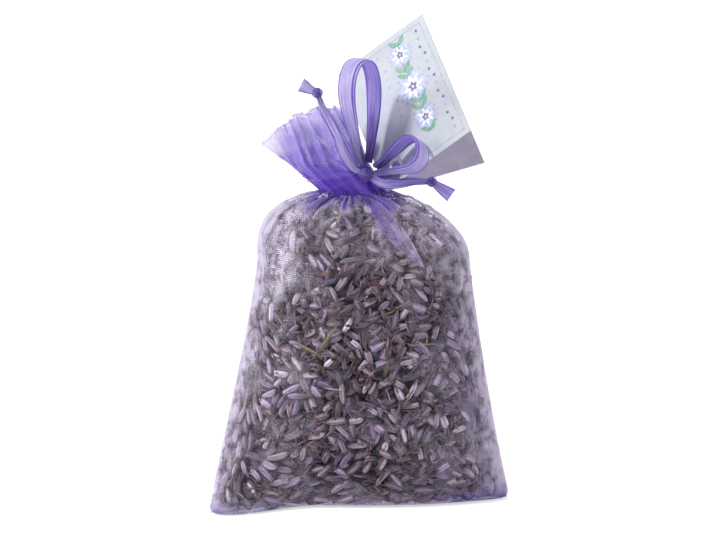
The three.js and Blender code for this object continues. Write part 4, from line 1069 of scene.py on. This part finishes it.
def build_buds(name, side, seed):
    """The buds, crumbs and stalk pieces that show through one panel."""
    rng = np.random.default_rng(seed)
    for layer, depth, count, sides, lean, tones, light in BUD_LAYERS:
        places = scatter(rng, side, count, depth, BUD_LENGTH, BUD_RADIUS, BUD_SPACING, lean)
        opened = rng.random(len(places[0])) < 0.5
        parts = []
        for mouth, chosen, tip in ((True, opened, MOUTH_SHADE_TONE), (False, ~opened, TIP_TONE)):
            form = bud_form(sides, mouth)
            parts.append(place_forms(form, split_places(places, chosen), rng, tones, tip, BUD_BEND, light))
        place_piece(f"{name}_{layer}", parts)
    crumbs = scatter(rng, side, 3600, 1.3, (1.8, 5), (0.3, 0.8), 0.4, 0.6)
    here = crumbs[0]
    clustered = ripple(here[:, 0], here[:, 2], 20, seed) > rng.uniform(-0.9, 0.5, len(here))
    crumbs = split_places(crumbs, clustered)
    stalks = scatter(rng, side, 26, 1.2, (8, 17), (0.4, 0.7), 1.0, 0.06)
    bits = scatter(rng, side, 1000, 1.0, (2.5, 6.5), (0.16, 0.34), 1.0, 0.3)
    place_piece(f"{name}_crumbs", [
        place_forms(bud_form(6, False), crumbs, rng, CRUMB_TONES, TIP_TONE, 0.6, CRUMB_LIGHT),
        place_forms(bud_form(4, False), bits, rng, CRUMB_TONES + BUD_TONES, TIP_TONE, 0.5, CRUMB_LIGHT),
        place_forms(bud_form(6, True), stalks, rng, STALK_TONES, STALK_END_TONE, 0.1, STALK_LIGHT)])


def build_core(name):
    """The inner mass behind the buds, up into the neck, painted near-black as the shade deep among them."""
    angle = np.linspace(0, math.pi, 71)
    height = np.linspace(2.5, NECK_HEIGHT - 0.3, 90)[:, None]
    front = fill_point(-1, angle[None, :-1], height, CORE_DEPTH)
    back = fill_point(1, angle[None, :0:-1], height, CORE_DEPTH)
    points = np.concatenate([front, back], axis=1)
    points = points + 0.5 * ripple(points[..., 0], points[..., 2], 4, 21)[..., None] * np.array([0.3, 1, 0.3])
    shade = 0.75 + 0.5 * np.clip(ripple(points[..., 0], points[..., 2], 5, 22), -1, 1)
    tone = np.array(CORE_SHADE_TONE) * shade.reshape(-1, 1)
    tone[:, 3] = 1
    faces = tube_faces(*points.shape[:2])
    piece = make_piece(name, points, faces, BUD, "pouch", {"tone": tone})
    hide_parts("lavender_filling")


# Tag
TAG_X = unit(TAG_BACK_DIRECTION)
TAG_Z = unit(np.cross(TAG_X, TAG_FOLD_DIRECTION))
TAG_Y = np.cross(TAG_Z, TAG_X)
TAG_CORNER = TAG_HOLE - TAG_HOLE_FROM_FOLD * TAG_X - TAG_HOLE_FROM_END * TAG_Y


def on_front_leaf(x, y, lift):
    """A place on the front leaf: x from the fold, y up the fold, lift above its printed face."""
    z = TAG_THICKNESS + lift
    over = x * math.cos(TAG_OPENING) - z * math.sin(TAG_OPENING)
    out = x * math.sin(TAG_OPENING) + z * math.cos(TAG_OPENING)
    return TAG_CORNER + over[:, None] * TAG_X + y[:, None] * TAG_Y + out[:, None] * TAG_Z


FOLD_RADIUS = 0.42
FOLD_HOLLOW = 0.1
PRINT_LIFT = 0.04
PRINT_LAYER = 0.004
PRINT_LEFT = 13
PRINT_MARGIN = 2
PRINT_STEM = 23.5
PRINT_LEAVES = (10, 19, 21.5, 32, 34.5, 44)
PRINT_ROSETTES = ((14.5, 4.2), (27, 5.4), (40, 4.2))


class Print:
    """Flat printed shapes, gathered into one mesh."""

    def __init__(self):
        self.points, self.faces, self.tones, self.count, self.layer = [], [], [], 0, 0

    def shape(self, x, y, tone):
        x, y = np.asarray(x, float), np.asarray(y, float)
        self.points.append(on_front_leaf(x, y, PRINT_LIFT + PRINT_LAYER * self.layer))
        self.faces.append(list(range(self.count, self.count + len(x))))
        self.tones.append(np.tile(np.array(tone), (len(x), 1)))
        self.count += len(x)

    def disc(self, x, y, radius, tone, stretch=1.0, sides=28):
        turn = np.linspace(0, 2 * math.pi, sides + 1)[:-1]
        self.shape(x + radius * np.cos(turn), y + radius * stretch * np.sin(turn), tone)

    def petal(self, x, y, direction, length, breadth, tone):
        t = np.linspace(0, 1, 9)
        half = breadth / 2 * np.sin(math.pi * t ** 0.85)
        u = np.concatenate([t, t[::-1][1:-1]]) * length
        v = np.concatenate([half, -half[::-1][1:-1]])
        c, s = math.cos(direction), math.sin(direction)
        self.shape(x + u * c - v * s, y + u * s + v * c, tone)

    def line(self, x0, y0, x1, y1, breadth, tone):
        length = math.hypot(x1 - x0, y1 - y0)
        nx, ny = -(y1 - y0) / length * breadth / 2, (x1 - x0) / length * breadth / 2
        self.shape([x0 + nx, x1 + nx, x1 - nx, x0 - nx], [y0 + ny, y1 + ny, y1 - ny, y0 - ny], tone)


INK_BLUE = srgb(198, 206, 238)
INK_LILAC = srgb(196, 184, 224)
INK_PLUM = srgb(140, 124, 172)
INK_GREEN = srgb(140, 186, 164)
INK_PAPER = srgb(246, 247, 253)


def print_flower(sheet, x, y, size):
    for k in range(5):
        sheet.petal(x, y, 0.3 + 2 * math.pi * k / 5, size, size * 0.62, INK_PLUM)
    sheet.layer += 1
    sheet.disc(x, y, size * 0.26, INK_PAPER, sides=12)


def print_rosette(sheet, x, y, size):
    sheet.layer = 0
    sheet.disc(x, y, size, INK_BLUE)
    reach = size * 1.14
    for k in range(16):
        turn = 2 * math.pi * k / 16
        sheet.disc(x + reach * math.cos(turn), y + reach * math.sin(turn), size * 0.09, INK_LILAC, sides=10)
    sheet.layer = 1
    for k in range(8):
        sheet.petal(x, y, 2 * math.pi * k / 8, size * 0.85, size * 0.3, INK_PAPER)
    sheet.layer = 2
    print_flower(sheet, x, y, size * 0.36)


def stem_at(y):
    return PRINT_STEM + 0.7 * math.sin(y / 3)


def build_print(name):
    """A plain printed design: a border line, three rosettes on a leafy stem, and dots."""
    sheet = Print()
    left, right = PRINT_LEFT, TAG_FRONT_WIDTH - PRINT_MARGIN
    low, high = PRINT_MARGIN, TAG_LENGTH - PRINT_MARGIN
    for ends in ((right, low, right, high), (left - 8, high, right, high), (left, low, right, low)):
        sheet.line(*ends, 0.3, INK_LILAC)
    for y in np.arange(9, 45, 1.0):
        sheet.line(stem_at(y), y, stem_at(y + 1), y + 1.02, 0.28, INK_GREEN)
    sheet.layer = 1
    for y in PRINT_LEAVES:
        for way in (0.75, math.pi - 0.75):
            sheet.petal(stem_at(y), y - 1, way, 4.6, 1.7, INK_GREEN)
    for y, size in PRINT_ROSETTES:
        print_rosette(sheet, PRINT_STEM, y, size)
    sheet.layer = 0
    for k in range(14):
        y = 5 + 3 * k
        sheet.disc(31.8 + 0.5 * math.sin(k * 2.1), y, 0.55, INK_PLUM if k % 3 else INK_LILAC, sides=12)
        sheet.disc(15.8 + 0.5 * math.cos(k * 1.7), y, 0.45, INK_LILAC if k % 2 else INK_BLUE, sides=12)
    tones = {"tone": np.concatenate(sheet.tones)}
    piece = make_piece(name, np.concatenate(sheet.points), sheet.faces, INK, "tag_front", tones)
    piece.data.polygons.foreach_set("use_smooth", np.zeros(len(piece.data.polygons), bool))


def build_fold(name):
    """The card's rounded fold, between the two leaves, shaped to the angle between them."""
    y = np.linspace(0, TAG_LENGTH, 25)
    angle = -0.5 * math.pi - np.linspace(0, 1, 9) * (math.pi - TAG_OPENING)
    arc = np.stack([np.cos(angle), np.sin(angle)], -1)
    c, s = math.cos(TAG_OPENING), math.sin(TAG_OPENING)
    card_edge = TAG_THICKNESS * np.array([[1, -1], [c - s, s + c]])
    profile = np.vstack([card_edge[:1], FOLD_RADIUS * arc, card_edge[1:], FOLD_HOLLOW * arc[::-1]])
    points = TAG_CORNER + profile[None, :, [0]] * TAG_X + profile[None, :, [1]] * TAG_Z
    points = points + y[:, None, None] * TAG_Y
    piece = link_object(name, make_mesh(name, points, tube_faces(*points.shape[:2]), CARD))
    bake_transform(piece)


def dress_tag():
    for node, look in (("tag_front_leaf", CARD), ("tag_back_leaf", CARD_INSIDE)):
        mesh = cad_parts[node].data
        mesh.materials.clear()
        mesh.materials.append(look)
    build_fold("tag_fold")
    build_print("tag_print")


# Tails: route, way across the ribbon, way and length of the flared end, way across that end
LEFT_TAIL = (LEFT_TAIL_ROUTE, (0.8, -0.35, 0.45), (-0.88, -0.1, 0.46), 4.2, (0.46, 0.1, 0.88))
RIGHT_TAIL = (RIGHT_TAIL_ROUTE, (0, -0.3, 1), (0.82, -0.1, -0.56), 6.0, (0.56, 0.1, 0.82))

# Turns of ribbon in a knot: turn, lean, breadth and size of each
BOW_KNOT_BANDS = [
    (0.2, 0.0, 0.42, 1.02), (1.1, 0.5, 0.5, 0.98), (-0.9, 0.9, 0.45, 1.0), (0.4, 1.5, 0.5, 0.92),
]
BOW_KNOT_SHARE = 0.86
TAIL_KNOT_BANDS = [(0.5, 0.4, 0.45, 1.0), (-0.7, 1.2, 0.5, 1.02), (1.3, 0.2, 0.5, 0.94)]


# Assembly
def build_bow():
    upper = loop_frame(UPPER_LOOP_RISE, UPPER_LOOP_TURN, 0.0)
    right = loop_frame(RIGHT_LOOP_RISE, RIGHT_LOOP_TURN, RIGHT_LOOP_FORWARD)
    for layer, word in enumerate(("outer", "inner")):
        build_loop("upper_loop", word, UPPER_LOOP_ROUTE, upper, layer * RIBBON_APART)
        build_loop("right_loop", word, RIGHT_LOOP_ROUTE, right, layer * RIBBON_APART)
    for layer, word in enumerate(("front", "back")):
        left_knot = build_tail("left", word, layer, *LEFT_TAIL)
        right_knot = build_tail("right", word, layer, *RIGHT_TAIL)
    build_knot("bow_knot_turns", KNOT, BOW_KNOT_SHARE * KNOT_RADII, BOW_KNOT_BANDS, "pouch", "bow_knot")
    size = np.full(3, TAIL_KNOT_RADIUS)
    build_knot("left_tail_knot_turns", left_knot, size, TAIL_KNOT_BANDS, "left_tail", "left_tail_knot")
    build_knot("right_tail_knot_turns", right_knot, size, TAIL_KNOT_BANDS, "right_tail", "right_tail_knot")


def casing_front(x, height):
    left = casing_point(0.0, height, 0.0)[..., 0]
    right = casing_point(math.pi, height, 0.0)[..., 0]
    angle = np.arccos(np.clip((left + right - 2 * x) / (right - left), -1, 1))
    return casing_point(angle, height, 0.0)


LEG_START = 0.3
LEG_SHORT = 0.3
LEG_RADIUS = 1.05
LEG_FOLDS = 5
LEG_TWIST = 4.0
CASING_MIDDLE = (CASING_BOTTOM + CASING_TOP) / 2


def build_left_leg(name):
    """The drawstring from the left opening, along the front of the casing to the bow."""
    t = np.linspace(0, 1, 40)
    start = casing_point(LEG_START, CASING_MIDDLE, 0.0)[0]
    stop = KNOT[0] - KNOT_RADII[0] - LEG_SHORT
    level = mix(CASING_MIDDLE, CASING_TOP - RIBBON_PINCH / 2, t)
    x = mix(start, stop, 1 - np.cos(math.pi * t / 2))
    centre = casing_front(x, level) + np.array([0, 0.5, 0])
    piece = band(name, centre, (-0.4, 0, 1), RIBBON_PINCH / 2, "pouch", 0.1, 0.2)
    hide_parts("left_drawstring_leg")


def build_right_leg(name):
    """The drawstring from the right opening, through the holes of the tag to the bow."""
    above = TAG_HOLE_FROM_FOLD * math.tan(TAG_OPENING)
    by_hole = np.array([
        (-1.2, 0.4, -3.08), (0, 0, -0.66), (0, 0, above / 2),
        (0, 0, above + 0.66), (-1.8, -2.6, above + 2.09)])
    through = TAG_HOLE + by_hole @ np.array([TAG_X, TAG_Y, TAG_Z])
    end = KNOT + np.array([KNOT_RADII[0] + LEG_SHORT, 2, -1])
    start = casing_point(math.pi, CASING_MIDDLE, -1.4)
    route = np.vstack([start, through, end + np.array([2.8, -0.8, 0.2]), end])
    piece = twisted_tube(name, route, LEG_RADIUS, LEG_FOLDS, LEG_TWIST, "pouch")
    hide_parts("right_drawstring_leg")


RUN_HALF = 1.6
RUN_INSET = 1.6


def build_runs():
    """The two drawstrings inside the casing, one over the other, each open at its own side."""
    for name, opening, rise in (("left", 0.0, 1.95), ("right", math.pi, 5.55)):
        angle = np.linspace(opening + SIDE_OPENING, opening + 2 * math.pi - SIDE_OPENING, 140)
        centre = casing_point(angle, CASING_BOTTOM + rise, RUN_INSET - 0.15 * np.sin(20 * angle))
        piece = band(f"{name}_run", centre, (0, 0, 1), RUN_HALF, "pouch", 0.1, 0.12)
        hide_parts(f"{name}_drawstring_run")


def build_pouch():
    for name, side, folds in (("front", -1, FRONT_FOLDS), ("back", 1, BACK_FOLDS)):
        panel = build_panel(f"{name}_cloth", side, folds)
        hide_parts(f"{name}_panel")
        build_buds(name, side, 40 + side)
    build_core("filling_core")


def build_seams():
    for name, angle, inward in (("left", 0.0, 1), ("right", math.pi, -1)):
        strip = build_side_seam(f"{name}_seam_strip", angle, inward)
        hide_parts(f"{name}_side_seam")
        route = pouch_point(1, angle, np.linspace(4.6, SEAM_TOP, 200), gap=0.0)
        route[:, 0] += inward * (SEAM_WIDTH + 0.5)
        route[:, 1] = corner_forward(route[:, 0], route[:, 2])
        build_stitches(f"{name}_seam_stitches", route, *SEAM_STITCH, f"{name}_seam_thread")
    strip = build_bottom_seam("bottom_seam_strip")
    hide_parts("bottom_seam")
    x = np.linspace(-BASE_HALF_WIDTH + 4, BASE_HALF_WIDTH - 4, 300)
    height = np.full(len(x), 3.6)
    route = np.stack([x, corner_forward(x, height), height], -1)
    build_stitches("bottom_seam_stitches", route, *SEAM_STITCH, "bottom_seam_thread")


def build_neck():
    lining = build_lining("casing_inner_cloth")
    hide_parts("casing_lining")
    angle = np.linspace(-0.5 * math.pi + 0.12, 1.5 * math.pi - 0.12, 400)
    for name, at, height in (("lower", CASING_BOTTOM, NECK_HEIGHT), ("upper", CASING_TOP, CASING_TOP)):
        route = casing_point(angle, at, 0.9)
        route[:, 2] = height + 0.65
        build_stitches(f"casing_{name}_stitches", route, *CASING_STITCH, f"casing_{name}_thread")
    for name, side, seed, swell in (("front", -1, 0.4, 2.3), ("back", 1, 2.3, 0.7)):
        header = build_header(f"{name}_header_cloth", side, seed, swell)
        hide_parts(f"{name}_casing", f"{name}_frill")
    flap = build_flap("frill_flap_cloth")
    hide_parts("frill_corner_flap")


# Stage: each lamp's place and size in metres, and its power
LAMPS = {
    "key": ((-0.92, -0.64, 1.16), 0.2, 16),
    "side": ((-1.3, 0.0, 0.4), 0.5, 8),
    "fill": ((1.35, -0.3, 0.55), 0.9, 9.5),
    "top": ((0.1, 0.5, 1.1), 0.8, 5),
}
LAMP_AIM = Vector((0, 0, 0.08))
FLOOR_REACH = 6000
FLOOR_COLOUR = (0.82, 0.82, 0.84, 1)
FLOOR_GLOW = 0.58
WORLD_LIGHT = 0.15


def set_camera():
    camera = bpy.data.cameras.new("camera")
    camera.sensor_width = SENSOR_WIDTH
    camera.lens = SENSOR_WIDTH * CAMERA_DISTANCE / (PIXEL * PHOTO_WIDTH)
    holder = link_object("camera", camera)
    rise = math.radians(CAMERA_RISE_DEG)
    away = Vector((0, -math.cos(rise), math.sin(rise)))
    holder.location = (Vector(CAMERA_AIM) + away * CAMERA_DISTANCE) * MM
    holder.rotation_euler = (math.pi / 2 - rise, 0, 0)
    bpy.context.scene.camera = holder


def area_lamp(name, place, size, power):
    lamp = bpy.data.lights.new(name, "AREA")
    lamp.size = size
    lamp.energy = power
    holder = link_object(name, lamp)
    holder.location = place
    holder.rotation_euler = (LAMP_AIM - Vector(place)).to_track_quat("-Z", "Y").to_euler()


def build_floor():
    """A white floor that keeps the shadow."""
    look, tree, shader = new_material("floor", 0.9, Specular_IOR_Level=0.1)
    shader.inputs["Base Color"].default_value = FLOOR_COLOUR
    seen = add(tree, "ShaderNodeLightPath").outputs["Is Camera Ray"]
    glow = add(tree, "ShaderNodeEmission", {"Color": WHITE, "Strength": times(tree, seen, FLOOR_GLOW)})
    set_surface(tree, add(tree, "ShaderNodeAddShader", {0: shader.outputs[0], 1: glow.outputs[0]}))
    corners = [(-1, -1, 0), (1, -1, 0), (1, 1, 0), (-1, 1, 0)]
    floor = link_object("floor", make_mesh("floor", FLOOR_REACH * np.array(corners), [(0, 1, 2, 3)], look))


def set_stage():
    """The floor, a surround that is white to the camera and dim as a light, and soft lamps."""
    build_floor()
    world = bpy.data.worlds.new("studio")
    bpy.context.scene.world = world
    world.use_nodes = True
    tree = world.node_tree
    sky = tree.nodes["Background"]
    path = add(tree, "ShaderNodeLightPath")
    seen = math_node(tree, "MAXIMUM", path.outputs["Is Camera Ray"], path.outputs["Is Transmission Ray"])
    tree.links.new(spread(tree, seen, 0, 1, WORLD_LIGHT, 1), sky.inputs["Strength"])
    sky.inputs["Color"].default_value = WHITE
    for name, lamp in LAMPS.items():
        area_lamp(name, *lamp)


bpy.context.scene.view_settings.view_transform = "Standard"
set_camera()
set_stage()
build_bow()
build_left_leg("left_leg")
build_right_leg("right_leg")
build_runs()
build_pouch()
build_seams()
build_neck()
dress_tag()
